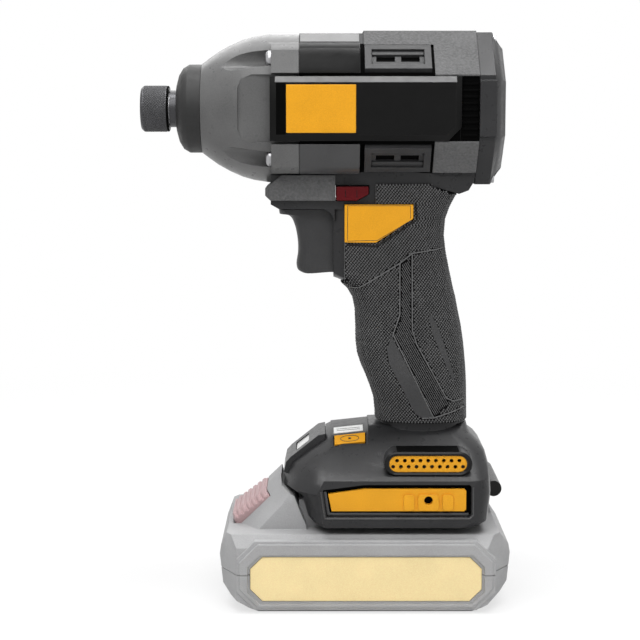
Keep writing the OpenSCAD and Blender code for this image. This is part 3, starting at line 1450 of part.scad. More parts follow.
module pack_release()
    color(pack_pink) at_release() {
        release_solid(rib_depth);
        intersection() {
            release_solid(0);
            for (k = [-3 : 3]) translate([rib_pitch * k - 0.7, -30, -release_depth])
                cube([1.4, 60, 30]);
        }
    }

module pack_top()
    color(pack_grey) difference() {
        union() {
            intersection() {
                union() {
                    pack_solid(0);
                    label_frame();
                }
                pack_half_space(true);
            }
            tower_solid();
            hump_solid();
        }
        pack_solid(pack_wall);
        release_pocket();
        label_recess();
    }

module pack_labels()
    color(pack_cream) both_sides()
        prism_y(pack_half_w - label_t + seat_gap, pack_half_w - 0.1, label_outline(0));

module pack_cells()
    color(steel) for (k = [0 : cell_count - 1])
        rod_y(-cell_len / 2, cell_len / 2, cell_r, [(k - (cell_count - 1) / 2) * cell_pitch, cell_z]);

module pack_terminals()
    color(copper) for (y = blade_ys, side = [0, 1]) translate([0, y, 0]) mirror([0, side, 0])
        translate([tower_rear_x + 1, slot_half_w - 0.6, blade_z0 - 0.1])
            cube([blade_len, 0.5, blade_h + 0.2]);

left_housing();
right_housing();
rear_cap();
gear_case();
nose_boot();
rear_bumper();
front_bumper();
grip_rubber_left();
grip_rubber_right();
grip_inlays();
name_plates();
badge_panels();
head_vents();
foot_vents();
accessory_plates();
belt_hook();
hook_screw();
lamp_housing();
lamp_lens();
control_panel();
mode_window();
mode_button();
case_bolts();
housing_screws();
trigger();
trigger_spring();
trigger_switch();
direction_selector();
anvil();
anvil_bush();
collet_sleeve();
collet_spring();
collet_ring();
detent_balls();
hammer();
hammer_spring();
cam_balls();
cam_carrier();
planet_pins();
planet_gear_1();
planet_gear_2();
planet_gear_3();
ring_gear();
carrier_bearing();
bearing_plate();
rotor_shaft();
rotor_core();
fan();
motor_bearings();
stator_core();
stator_coils();
sensor_board();
control_module();
terminal_block();
pack_base();
pack_top();
pack_labels();
pack_cells();
pack_terminals();
pack_release();
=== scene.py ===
"""Finishes of a cordless impact driver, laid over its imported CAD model."""

import json
import math

import bpy
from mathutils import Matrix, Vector
from mathutils.bvhtree import BVHTree


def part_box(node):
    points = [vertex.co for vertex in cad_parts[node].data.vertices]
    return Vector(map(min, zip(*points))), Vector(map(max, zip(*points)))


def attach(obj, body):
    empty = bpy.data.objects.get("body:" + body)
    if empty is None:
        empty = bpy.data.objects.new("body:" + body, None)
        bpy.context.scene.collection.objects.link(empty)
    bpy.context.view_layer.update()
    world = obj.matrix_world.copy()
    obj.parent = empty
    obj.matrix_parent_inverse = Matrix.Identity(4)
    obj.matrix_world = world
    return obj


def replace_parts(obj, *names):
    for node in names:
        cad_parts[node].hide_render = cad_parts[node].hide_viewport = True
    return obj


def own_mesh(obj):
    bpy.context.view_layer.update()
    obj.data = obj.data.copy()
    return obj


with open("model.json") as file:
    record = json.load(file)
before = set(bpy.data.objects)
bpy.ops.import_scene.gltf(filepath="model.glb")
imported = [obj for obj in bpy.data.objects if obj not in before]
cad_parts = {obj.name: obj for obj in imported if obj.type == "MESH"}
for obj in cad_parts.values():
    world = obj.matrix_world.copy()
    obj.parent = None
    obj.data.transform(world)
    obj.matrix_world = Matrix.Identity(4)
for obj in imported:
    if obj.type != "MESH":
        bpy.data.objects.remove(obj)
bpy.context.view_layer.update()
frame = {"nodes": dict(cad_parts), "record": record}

bl_info = {
    "name": "Impact driver finishes",
    "version": (1, 0, 0),
    "blender": (4, 5, 0),
    "location": "3D View > Sidebar > Driver",
    "description": "Shells, rubber, trim, controls and battery pack of an impact driver",
    "category": "Object",
}

SLOT_OF = {part["node"]: part["material_slot"] for part in frame["record"]["subparts"]}
BODY_OF = {node: body for body, nodes in frame["record"]["behaviour"]["bodies"].items() for node in nodes}
MM = 0.001
SIDES = (1, -1)
# Height of the drive axis, in millimetres
AXIS_Z = sum(corner[2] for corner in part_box("collet_sleeve")) / 2 / MM
# Distances from the middle, in metres, that lie outside the whole tool and outside the grip
CLEAR_OF_TOOL = 0.08
CLEAR_OF_GRIP = 0.06
# Fall of the control panel's front end, and grid of the grip's smooth plates, in millimetres
PANEL_FALL = 1.6
PLATE_GRID = 1.5
# Gap in millimetres and angle in degrees below which a node's corners and faces are merged
MERGE_GAP = 0.002
MERGE_ANGLE = 0.4

# Lines and plates on the left side of the grip, as [x, z] in millimetres
SEAM = [(6.2, 123.3), (2.1, 123.9), (-5.3, 128.5), (-13.3, 133.5), (-18.1, 137.3), (-30.4, 138.8)]
BAND_FRONT = [(-13.3, 133.5), (-13.4, 113.3), (-10.8, 105.7), (-27.0, 72.4)]
BAND_REAR = [(-18.1, 137.3), (-18.3, 107.3), (-20.0, 101.9), (-32.0, 80.1), (-34.7, 78.8), (-39.0, 79.2)]
GRIP_HEM = [(-22.4, 72.2), (-27.0, 72.4), (-39.1, 75.9)]
LEAF = [(-10.3, 105.0), (-8.4, 100.0), (-9.3, 94.1), (-19.6, 74.1), (-22.4, 72.4), (-27.0, 72.4)]
SLIVER = [(-24.9, 113.0), (-25.8, 113.3), (-29.0, 107.3), (-35.2, 88.9), (-35.2, 86.7), (-34.1, 87.8),
          (-26.4, 105.2), (-24.9, 111.7)]
INLAY = [(8.3, 156.6), (-18.5, 156.6), (-18.9, 150.3), (-4.4, 141.0), (8.3, 141.4)]


def length(name, description, default):
    return bpy.props.FloatProperty(name=name, description=description, default=default, min=0.0,
                                   precision=5, subtype="DISTANCE", unit="LENGTH")


def colour(name, description, default):
    return bpy.props.FloatVectorProperty(name=name, description=description, default=default, size=3,
                                         min=0.0, max=1.0, subtype="COLOR")


class DRIVER_PG_sizes(bpy.types.PropertyGroup):
    """Sizes of the fine detail"""
    edge_round: length("Edge round", "Radius of the moulded edges", 0.35 * MM)
    diamond_pitch: length("Diamond pitch", "Distance between the diamonds of the grip", 1.25 * MM)
    diamond_rise: length("Diamond rise", "Height of a diamond over the rubber", 0.38 * MM)
    fine_pitch: length("Fine pitch", "Distance between the slanted lines of the band", 0.72 * MM)
    bead_radius: length("Bead radius", "Radius of the beads that edge the grip's fields", 0.3 * MM)
    plate_rise: length("Plate rise", "Height of the smooth plates over the rubber", 0.2 * MM)
    line_radius: length("Line radius", "Radius of the fine lines on trim and controls", 0.13 * MM)


class DRIVER_PG_colours(bpy.types.PropertyGroup):
    """Colours of the finishes"""
    housing: colour("Housing", "Charcoal shells", (0.022, 0.022, 0.023))
    rubber: colour("Grip rubber", "Rubber of the grip", (0.003, 0.003, 0.0031))
    # Painted highlight: the diamonds' tips and the band's slanted lines are the grip's own rubber, painted
    # lighter where light catches them
    diamonds: colour("Diamonds", "Tips of the grip's diamonds", (0.115, 0.115, 0.116))
    # Painted sheen: the smooth plates and the beads are the grip's own rubber, painted lighter for the
    # sheen on them
    smooth_painted_sheen: colour("Smooth rubber", "Plates on the grip", (0.055, 0.055, 0.056))
    beads: colour("Beads", "Beads round the grip's fields", (0.125, 0.125, 0.126))
    bumper: colour("Bumper rubber", "Grainy rubber over and under the head", (0.088, 0.088, 0.089))
    panel: colour("Panel", "Control panel, vents and trigger", (0.036, 0.036, 0.037))
    yellow: colour("Yellow", "Trim plates", (0.70, 0.315, 0.012))
    red: colour("Red", "Direction selector", (0.080, 0.004, 0.006))
    case: colour("Gear case", "Coated gear case", (0.105, 0.105, 0.105))
    steel: colour("Steel", "Ground steel", (0.40, 0.40, 0.41))
    dark_steel: colour("Black steel", "Blackened steel", (0.055, 0.055, 0.058))
    copper: colour("Copper", "Windings and terminals", (0.60, 0.30, 0.14))
    board: colour("Board", "Circuit boards", (0.03, 0.10, 0.05))
    # Painted highlight: light grey bands on the head's upper slopes, where light from above falls on them
    band: colour("Top bands", "Satin bands on the head's upper slopes", (0.19, 0.19, 0.19))
    boot: colour("Nose boot", "Rubber boot at the nose", (0.024, 0.024, 0.024))
    rail: colour("Rails", "Covers of the upper bolt rails and the side panels", (0.004, 0.004, 0.004))
    # Painted highlight: a lighter grey for the lower rail covers, the panels' upper chamfers and the foot's
    # ledges and rims, where light falls
    edge: colour("Grey edges", "Lower bolt rails, panel edges and the foot's ledges", (0.050, 0.050, 0.051))
    # The gloss black bead round the inlays is painted shade of the gap round them
    gloss: colour("Gloss black", "Rims of the grilles and inlays, and the belt hook", (0.003, 0.003, 0.003))
    # Near black for painted shade: plates in gaps, recess floors, exhaust slots, vent strips and under the
    # grille hoods; also the panel lips and the collet's ring line
    deep: colour("Deep black", "Gaps and the floors of recesses", (0.0015, 0.0015, 0.0015))
    inner: colour("Inner plastic", "Plastic inside the shells", (0.02, 0.02, 0.02))
    white: colour("White", "Panel label and lens", (0.70, 0.70, 0.69))
    pack: colour("Pack", "Shells of the battery pack", (0.32, 0.32, 0.324))
    label: colour("Label", "Film on the battery pack", (0.84, 0.65, 0.34))
    release: colour("Release", "Release button of the pack", (0.42, 0.29, 0.295))
    cell: colour("Cells", "Sleeves of the cells", (0.25, 0.30, 0.35))


class Wire:
    """A node's output. Sums on wires add Math nodes to the same tree."""

    def __init__(self, nodes, socket):
        self.nodes = nodes
        self.socket = socket

    def maths(self, operation, *terms):
        return self.nodes.add("ShaderNodeMath", {"operation": operation}, dict(enumerate(terms)))

    def __add__(self, other):
        return self.maths("ADD", self, other)

    def __radd__(self, other):
        return self.maths("ADD", other, self)

    def __sub__(self, other):
        return self.maths("SUBTRACT", self, other)

    def __rsub__(self, other):
        return self.maths("SUBTRACT", other, self)

    def __mul__(self, other):
        return self.maths("MULTIPLY", self, other)

    def __rmul__(self, other):
        return self.maths("MULTIPLY", other, self)

    def largest(self, other):
        return self.maths("MAXIMUM", self, other)

    def clamped(self):
        return self.nodes.add("ShaderNodeClamp", {}, {"Value": self})


class Nodes:
    """A node tree and the one way to add nodes to it"""

    def __init__(self, tree):
        self.tree = tree

    def add(self, kind, settings=None, inputs=None, output=0):
        node = self.tree.nodes.new(kind)
        for key, value in (settings or {}).items():
            setattr(node, key, value)
        for key, value in (inputs or {}).items():
            self.put(node.inputs[key], value)
        return Wire(self, node.outputs[output])

    def put(self, socket, value):
        if isinstance(value, Wire):
            self.tree.links.new(value.socket, socket)
        else:
            socket.default_value = value

    def background_seen(self):
        """1 for rays that show the background"""
        seen = self.add("ShaderNodeLightPath", output="Is Camera Ray")
        for ray in ("Is Glossy Ray", "Is Transmission Ray"):
            seen = seen.largest(self.add("ShaderNodeLightPath", output=ray))
        return seen


class Finish(Nodes):
    """A material and its Principled shader"""

    def __init__(self, name):
        self.material = bpy.data.materials.new("finish_" + name)
        self.material.use_nodes = True
        super().__init__(self.material.node_tree)
        self.shader = self.tree.nodes["Principled BSDF"]

    def shade(self, **inputs):
        for key, value in inputs.items():
            self.put(self.shader.inputs[key.replace("_", " ")], value)

    def place(self):
        return self.add("ShaderNodeTexCoord", output="Object")

    def noise(self, scale, detail, place):
        return self.add("ShaderNodeTexNoise", {}, {"Vector": place, "Scale": scale, "Detail": detail})

    def ramp(self, value, low, high):
        """0 below low and 1 above high"""
        return self.add("ShaderNodeMapRange", {"clamp": True},
                        {"Value": value, "From Min": low, "From Max": high})

    def blend(self, factor, first, second):
        """A colour between two colours"""
        return self.add("ShaderNodeMix", {"data_type": "RGBA"}, {0: factor, 6: first, 7: second}, output=2)

    def rounded(self, radius):
        """Normals that round the edges"""
        return self.add("ShaderNodeBevel", {"samples": 4}, {"Radius": radius})

    def bump(self, height, depth, normal):
        return self.add("ShaderNodeBump", {}, {"Distance": depth, "Height": height, "Normal": normal})


def rgba(values, gain=1.0):
    return (*(min(1.0, v * gain) for v in values), 1.0)


def moulded(name, base, rough, grain=0.3, depth=0.02, wear_and_highlight=0.5, wear_and_highlight_gain=2.6, specular=0.2, metallic=0.0,
            coat=0.0, mottle=0.12, speckle=0.35):
    """A moulded or coated surface with rounded edges, a fine grain and lighter edges, which are partly wear
    and partly a painted highlight along the edges. The grain and its depth are in millimetres."""
    finish = Finish(name)
    place = finish.place()
    cloud = finish.noise(90.0, 4.0, place)
    patch = finish.noise(420.0, 3.0, place)
    speck = finish.noise(1.0 / (grain * MM), 2.0, place)
    rounded = finish.rounded(0.35 * MM)
    flat = finish.add("ShaderNodeNewGeometry", output="Normal")
    turn = finish.add("ShaderNodeVectorMath", {"operation": "DOT_PRODUCT"}, {0: rounded, 1: flat}, "Value")
    edges = finish.ramp(1.0 - turn, 0.02, 0.25)
    # Lighter edges in random patches: partly wear, partly a painted highlight along the edges
    worn_and_highlit_edges = edges * finish.ramp(patch, 0.38, 0.62) * wear_and_highlight
    tone = finish.blend(finish.ramp(cloud, 0.3, 0.7), rgba(base, 1.0 - mottle), rgba(base, 1.0 + mottle))
    tone = finish.blend(finish.ramp(speck, 0.35, 0.75) * speckle, tone, rgba(base, 1.5))
    tone = finish.blend(worn_and_highlit_edges, tone, rgba([v + 0.015 for v in base], wear_and_highlight_gain))
    roughness = (finish.ramp(patch, 0.3, 0.7) * 0.12 + (rough - 0.06) - worn_and_highlit_edges * 0.1).clamped()
    finish.shade(Base_Color=tone, Roughness=roughness, Normal=finish.bump(speck, depth * MM, rounded),
                 Metallic=metallic, Specular_IOR_Level=specular, Coat_Weight=coat, Coat_Roughness=0.25)


def ground(name, base, rough):
    """Turned or ground steel, with lines round the drive axis"""
    finish = Finish(name)
    place = finish.place()
    stretched = finish.add("ShaderNodeMapping", {}, {"Vector": place, "Scale": (1.0, 0.06, 0.06)})
    line = finish.noise(1400.0, 3.0, stretched)
    cloud = finish.noise(160.0, 3.0, place)
    tone = finish.blend(finish.ramp(line, 0.3, 0.7), rgba(base, 0.82), rgba(base, 1.1))
    tone = finish.blend(finish.ramp(cloud, 0.45, 0.75) * 0.35, tone, rgba(base, 0.6))
    roughness = (finish.ramp(line, 0.3, 0.7) * 0.14 + rough).clamped()
    finish.shade(Base_Color=tone, Metallic=1.0, Roughness=roughness,
                 Normal=finish.bump(line, 0.01 * MM, finish.rounded(0.25 * MM)))


def make_finishes(c):
    """One material for each of the record's slots, and those that the pieces use besides"""
    moulded("housing_plastic", c.housing, 0.32, 0.28, 0.01, 0.6)
    moulded("panel_plastic", c.panel, 0.42, depth=0.015)
    moulded("yellow_plastic", c.yellow, 0.42, 0.3, 0.012, 0.4, 1.15, mottle=0.05)
    moulded("red_plastic", c.red, 0.4, 0.3, 0.012, 0.4, 2.0, specular=0.1)
    moulded("inner_plastic", c.inner, 0.6)
    moulded("white_plastic", c.white, 0.3, wear_and_highlight=0.1, wear_and_highlight_gain=1.0, mottle=0.03)
    moulded("lens", c.white, 0.14, depth=0.004, wear_and_highlight=0.1, wear_and_highlight_gain=1.0, mottle=0.03, coat=0.5)
    moulded("board", c.board, 0.4)

    moulded("grip_rubber", c.rubber, 0.7, 0.22, 0.02, 0.4, specular=0.03)
    # Painted highlight on the grip's diamonds and slanted lines, which are the same rubber as the grip
    moulded("diamond_painted_highlight", c.diamonds, 0.6, 0.22, 0.01, 0.2, specular=0.06)
    # Painted sheen on the grip's smooth plates and beads, which are the same rubber as the grip
    moulded("smooth_painted_sheen", c.smooth_painted_sheen, 0.5, 0.3, 0.008, 0.4, specular=0.1)
    moulded("bead_painted_sheen", c.beads, 0.5, 0.3, 0.004, 0.1, specular=0.1)
    moulded("bumper_rubber", c.bumper, 0.7, 0.9, 0.3, 0.35, 1.6, speckle=0.8)
    moulded("boot_rubber", c.boot, 0.5, 0.3, 0.012, 0.4)

    moulded("gloss_black", c.gloss, 0.3, 0.3, 0.006, 0.3)
    # Near black, mostly for painted shade in gaps and recesses
    moulded("deep_black", c.deep, 0.8, 0.3, 0.006, 0.1, 1.0, specular=0.03)
    moulded("rail_black", c.rail, 0.34, 0.3, 0.006, 0.7, 4.0, specular=0.1)
    # Painted highlight, a lighter grey for lit edges, ledges and the lower rail covers
    moulded("highlight_grey", c.edge, 0.34, 0.3, 0.008, 0.6, 2.4, specular=0.25)
    # Painted highlight on the head's upper slopes
    moulded("band_painted_highlight", c.band, 0.36, 0.3, 0.008, 0.4, 1.4, specular=0.25)

    moulded("case_metal", c.case, 0.32, 0.5, 0.012, 0.6, 1.6, specular=0.18)
    moulded("dark_steel", c.dark_steel, 0.36, 0.25, 0.01, 0.8, 4.0, metallic=0.75)
    moulded("knurl_black", c.dark_steel, 0.5, 0.25, 0.004, 0.2)
    ground("bright_steel", c.steel, 0.26)
    ground("copper", c.copper, 0.35)

    moulded("pack_plastic", c.pack, 0.5, 0.3, 0.015, 0.5, 1.45, mottle=0.06)
    moulded("pack_label", c.label, 0.34, 0.25, 0.004, 0.3, 1.1, mottle=0.04, coat=0.2)
    moulded("pack_button", c.release, 0.45, 0.3, 0.012, 0.4, 1.3, mottle=0.06)
    moulded("cell_can", c.cell, 0.4)


def select_only(piece):
    bpy.ops.object.select_all(action="DESELECT")
    piece.select_set(True)
    bpy.context.view_layer.objects.active = piece


def new_piece(name, mesh):
    piece = bpy.data.objects.new(name, mesh)
    bpy.context.scene.collection.objects.link(piece)
    select_only(piece)
    return piece


def new_mesh(name, corners, faces):
    mesh = bpy.data.meshes.new(name)
    mesh.from_pydata(corners, [], faces)
    return new_piece(name, mesh)


def edit_all(piece):
    """Open a piece for editing, with all of it selected"""
    select_only(piece)
    bpy.ops.object.mode_set(mode="EDIT")
    bpy.ops.mesh.select_all(action="SELECT")


def edit_done():
    bpy.ops.object.mode_set(mode="OBJECT")


def apply_modifier(piece, kind, **settings):
    select_only(piece)
    modifier = piece.modifiers.new(kind, kind)
    for key, value in settings.items():
        setattr(modifier, key, value)
    bpy.ops.object.modifier_apply(modifier=modifier.name)


def round_edges(piece, width, over=40.0):
    """Round the edges that turn by more than an angle"""
    apply_modifier(piece, "BEVEL", width=width, segments=2, limit_method="ANGLE",
                   angle_limit=math.radians(over))


def shade_smooth(piece, angle=34.0):
    select_only(piece)
    bpy.ops.object.shade_smooth_by_angle(angle=math.radians(angle))


def paint(piece, finish):
    piece.data.materials.clear()
    piece.data.materials.append(bpy.data.materials["finish_" + finish])


def seat(piece, body, slot, finish=None):
    """Paint a piece and let it ride on its body"""
    paint(piece, finish or slot)
    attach(piece, body)


def skin(node, bevel=0.0, smooth=34.0, finish=None):
    """A merged copy of a node, with rounded edges and smooth faces, that stands for it"""
    piece = new_piece(node + "_skin", frame["nodes"][node].data.copy())
    bpy.ops.mesh.customdata_custom_splitnormals_clear()
    edit_all(piece)
    bpy.ops.mesh.remove_doubles(threshold=MERGE_GAP * MM)
    bpy.ops.mesh.dissolve_limited(angle_limit=math.radians(MERGE_ANGLE))
    edit_done()
    if bevel:
        round_edges(piece, bevel)
    shade_smooth(piece, smooth)
    apply_modifier(piece, "WEIGHTED_NORMAL", keep_sharp=True, weight=80)
    seat(piece, BODY_OF[node], SLOT_OF[node], finish)
    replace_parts(piece, node)
    return piece


def prism(name, outline, axis, start, end, body, slot, finish=None, bevel=0.0):
    """A straight piece along an axis, with an outline across it, all in millimetres"""
    first, second = (i for i in range(3) if i != axis)
    corners = []
    for pair in outline:
        corner = [start * MM] * 3
        corner[first] = pair[0] * MM
        corner[second] = pair[1] * MM
        corners.append(corner)
    piece = new_mesh(name, corners, [list(range(len(corners)))])
    travel = [0.0, 0.0, 0.0]
    travel[axis] = (end - start) * MM
    edit_all(piece)
    bpy.ops.mesh.extrude_region_move(TRANSFORM_OT_translate={"value": travel})
    bpy.ops.mesh.select_all(action="SELECT")
    bpy.ops.mesh.normals_make_consistent(inside=False)
    edit_done()
    if bevel:
        round_edges(piece, bevel * MM)
    shade_smooth(piece)
    seat(piece, body, slot, finish)
    return piece


# Unless told otherwise the plates are near black, for painted shade in gaps and recesses
def plates(name, outline, inner, outer, slot="inner_plastic", finish="deep_black", bevel=0.0):
    """The same upright plate on both sides of the housing, between two distances from its middle"""
    return [prism(name, outline, 1, side * inner, side * outer, "housing", slot, finish, bevel)
            for side in SIDES]


def lean(piece):
    """Lower the front end of a piece of the control panel, because the foot's top falls off there"""
    low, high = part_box("control_panel")
    for corner in piece.data.vertices:
        corner.co.z -= PANEL_FALL * MM * (corner.co.x - low[0]) / (high[0] - low[0])
    piece.data.update()
    return piece


def box_outline(x0, x1, z0, z1):
    return [(x0, z0), (x1, z0), (x1, z1), (x0, z1)]


def joined(name, pieces):
    """One piece from several that share a body"""
    bpy.ops.object.select_all(action="DESELECT")
    for piece in pieces:
        piece.select_set(True)
    bpy.context.view_layer.objects.active = pieces[0]
    bpy.ops.object.join()
    pieces[0].name = name
    return pieces[0]


def surface(*pieces):
    """A tree of the pieces' faces, to find points on them"""
    corners = []
    faces = []
    for piece in pieces:
        start = len(corners)
        corners += [v.co.copy() for v in piece.data.vertices]
        faces += [[start + i for i in face.vertices] for face in piece.data.polygons]
    return BVHTree.FromPolygons(corners, faces)


def inside(point, outline):
    x, z = point
    found = False
    for (x0, z0), (x1, z1) in zip(outline, outline[1:] + outline[:1]):
        if (z0 > z) != (z1 > z) and x < x0 + (z - z0) / (z1 - z0) * (x1 - x0):
            found = not found
    return found


def gap_to(point, line):
    """The distance from a point to a line of points"""
    best = math.inf
    at = Vector(point)
    for start, end in zip(line, line[1:]):
        a = Vector(start)
        run = Vector(end) - a
        share = max(0.0, min(1.0, (at - a).dot(run) / run.length_squared))
        best = min(best, (a + run * share - at).length)
    return best


def steps_along(line, step):
    """Points of a line, no further apart than step"""
    points = [line[0]]
    for (x0, z0), (x1, z1) in zip(line, line[1:]):
        count = max(1, math.ceil(math.hypot(x1 - x0, z1 - z0) / step))
        points += [(x0 + (x1 - x0) * i / count, z0 + (z1 - z0) * i / count) for i in range(1, count + 1)]
    return points


def smooth_line(points, steps):
    """A smooth line through points, with more points between them"""
    line = []
    for i in range(len(points) - 1):
        a, b, c, d = (Vector(points[max(0, min(len(points) - 1, i + k))]) for k in (-1, 0, 1, 2))
        for step in range(steps):
            t = step / steps
            line.append(tuple(0.5 * (2 * b + (c - a) * t + (2 * a - 5 * b + 4 * c - d) * t ** 2
                                     + (3 * b - a - 3 * c + d) * t ** 3)))
    return line + [tuple(points[-1])]


def moved_out(outline, reach):
    """An outline with each corner moved away from the middle, or towards it if reach is negative"""
    middle = Vector((sum(x for x, _ in outline), sum(z for _, z in outline))) / len(outline)
    return [tuple(Vector(corner) + (Vector(corner) - middle).normalized() * reach) for corner in outline]


def laid_on(tree, line, side, step=0.8, lift=0.0):
    """Points of a line [x, z] on the side of the tool, in metres"""
    points = []
    for x, z in steps_along(line, step):
        start = Vector((x * MM, side * CLEAR_OF_TOOL, z * MM))
        hit, normal, _, _ = tree.ray_cast(start, Vector((0, -side, 0)))
        if hit:
            points.append(hit + normal * lift * MM)
    return points


def bead(name, runs, radius, body, slot, finish=None, closed=False):
    """Round beads along runs of points"""
    curve = bpy.data.curves.new(name, "CURVE")
    curve.dimensions = "3D"
    curve.bevel_depth = radius
    curve.bevel_resolution = 1
    curve.use_fill_caps = True
    for run in runs:
        spline = curve.splines.new("POLY")
        spline.points.add(len(run) - 1)
        for point, place in zip(spline.points, run):
            point.co = (*place, 1.0)
        spline.use_cyclic_u = closed
    new_piece(name, curve)
    bpy.ops.object.convert(target="MESH")
    piece = bpy.context.view_layer.objects.active
    shade_smooth(piece, 50.0)
    seat(piece, body, slot, finish)


def smooth_plate(name, target, outline, side, rise):
    """A thin rubber plate with an outline [x, z] that follows the side of the grip"""
    piece = new_mesh(name, [(x * MM, side * CLEAR_OF_GRIP, z * MM) for x, z in outline],
                     [list(range(len(outline)))])
    edit_all(piece)
    for axis, places in ((2, [z for _, z in outline]), (0, [x for x, _ in outline])):
        start, end = min(places), max(places)
        cuts = int((end - start) / PLATE_GRID)
        for i in range(1, cuts):
            place = [0.0, 0.0, 0.0]
            facing = [0.0, 0.0, 0.0]
            place[axis] = (start + (end - start) * i / cuts) * MM
            facing[axis] = 1.0
            bpy.ops.mesh.select_all(action="SELECT")
            bpy.ops.mesh.bisect(plane_co=place, plane_no=facing)
    edit_done()
    apply_modifier(piece, "SHRINKWRAP", target=target, wrap_method="PROJECT", use_project_x=False,
                   use_project_y=True, use_project_z=False, use_negative_direction=True,
                   use_positive_direction=True, offset=rise, wrap_mode="ON_SURFACE")
    edit_all(piece)
    bpy.ops.mesh.normals_make_consistent(inside=False)
    edit_done()
    if piece.data.polygons[0].normal.y * side < 0:
        edit_all(piece)
        bpy.ops.mesh.flip_normals()
        edit_done()
    apply_modifier(piece, "SOLIDIFY", thickness=rise * 2.5, offset=-1.0)
    shade_smooth(piece, 35.0)
    # The plate is painted lighter than the rubber, a painted sheen
    seat(piece, "housing", "grip_rubber", "smooth_painted_sheen")


class DriverStep:
    """What the steps share"""
    bl_options = {"REGISTER", "UNDO"}

    def execute(self, context):
        self.make(context, context.scene.driver_sizes)
        return {"FINISHED"}


class DRIVER_OT_finishes(DriverStep, bpy.types.Operator):
    """Make the materials and paint the inner parts"""
    bl_idname = "driver.finishes"
    bl_label = "Finishes"

    def make(self, context, sizes):
        make_finishes(context.scene.driver_colours)
        for node, piece in frame["nodes"].items():
            paint(piece, SLOT_OF[node])


class DRIVER_OT_shells(DriverStep, bpy.types.Operator):
    """Housing halves, rear cap, side panels, vents, lamp block and control panel"""
    bl_idname = "driver.shells"
    bl_label = "Shells"
    # The side panels, with distances y from the middle
    CORNER_CUT = 5.0
    CHAMFER = 2.3
    BACK_Y = 27.7
    SEAT_X = (26.0, 35.4)
    SEAT_Y = (24.5, 27.8)
    SEAT_INSET = 0.5
    EDGE_T = 0.04
    EDGE_INSET = 2.0

    def make(self, context, sizes):
        for node in ("left_housing", "right_housing", "rear_cap", "head_vents"):
            skin(node)
        skin("lamp_housing", sizes.edge_round)
        lean(skin("control_panel"))
        self.side_panels()

    def side_panels(self):
        """Side panels, the blocks that seat their front ends and a grey line of painted highlight on their
        upper chamfers
        """
        low, high = ([v / MM for v in corner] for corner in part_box("badge_panels"))
        outline = [(high[0], low[2]), (high[0], high[2]), (low[0], high[2]),
                   (low[0], low[2] + self.CORNER_CUT), (low[0] + self.CORNER_CUT, low[2])]
        panels = plates("panel", outline, self.BACK_Y, high[1], "housing_plastic", "rail_black")
        for panel in panels:
            self.chamfer_face(panel, high[1])
        block = box_outline(*self.SEAT_X, low[2] + self.SEAT_INSET, high[2] - self.SEAT_INSET)
        panels += plates("seat", block, *self.SEAT_Y, "housing_plastic", "rail_black")
        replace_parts(joined("badge_panels_skin", panels), "badge_panels")
        # A lighter grey line on each upper chamfer, a painted highlight where light falls on it
        t = self.EDGE_T
        upper = Vector((high[1] - self.CHAMFER, high[2]))
        lower = Vector((high[1], high[2] - self.CHAMFER))
        strip = [upper + Vector((t, -t)), lower + Vector((-t, t)), lower + Vector((-t / 4, 2 * t)),
                 upper + Vector((2 * t, 0))]
        joined("panel_chamfer_highlights", [
            prism("edge", [(side * y, z) for y, z in strip], 0, low[0] + self.EDGE_INSET,
                  high[0] - self.EDGE_INSET, "housing", "housing_plastic", "highlight_grey") for side in SIDES])

    def chamfer_face(self, panel, face_y):
        """Cut a wide chamfer round a panel's outer face"""
        select_only(panel)
        bpy.ops.object.mode_set(mode="EDIT")
        bpy.ops.mesh.select_all(action="DESELECT")
        edit_done()
        corners = panel.data.vertices
        for edge in panel.data.edges:
            edge.select = all(abs(corners[v].co.y) > (face_y - 0.1) * MM for v in edge.vertices)
        bpy.ops.object.mode_set(mode="EDIT")
        bpy.ops.mesh.select_mode(type="EDGE")
        bpy.ops.mesh.bevel(offset=self.CHAMFER * MM, segments=1, affect="EDGES", clamp_overlap=True)
        edit_done()


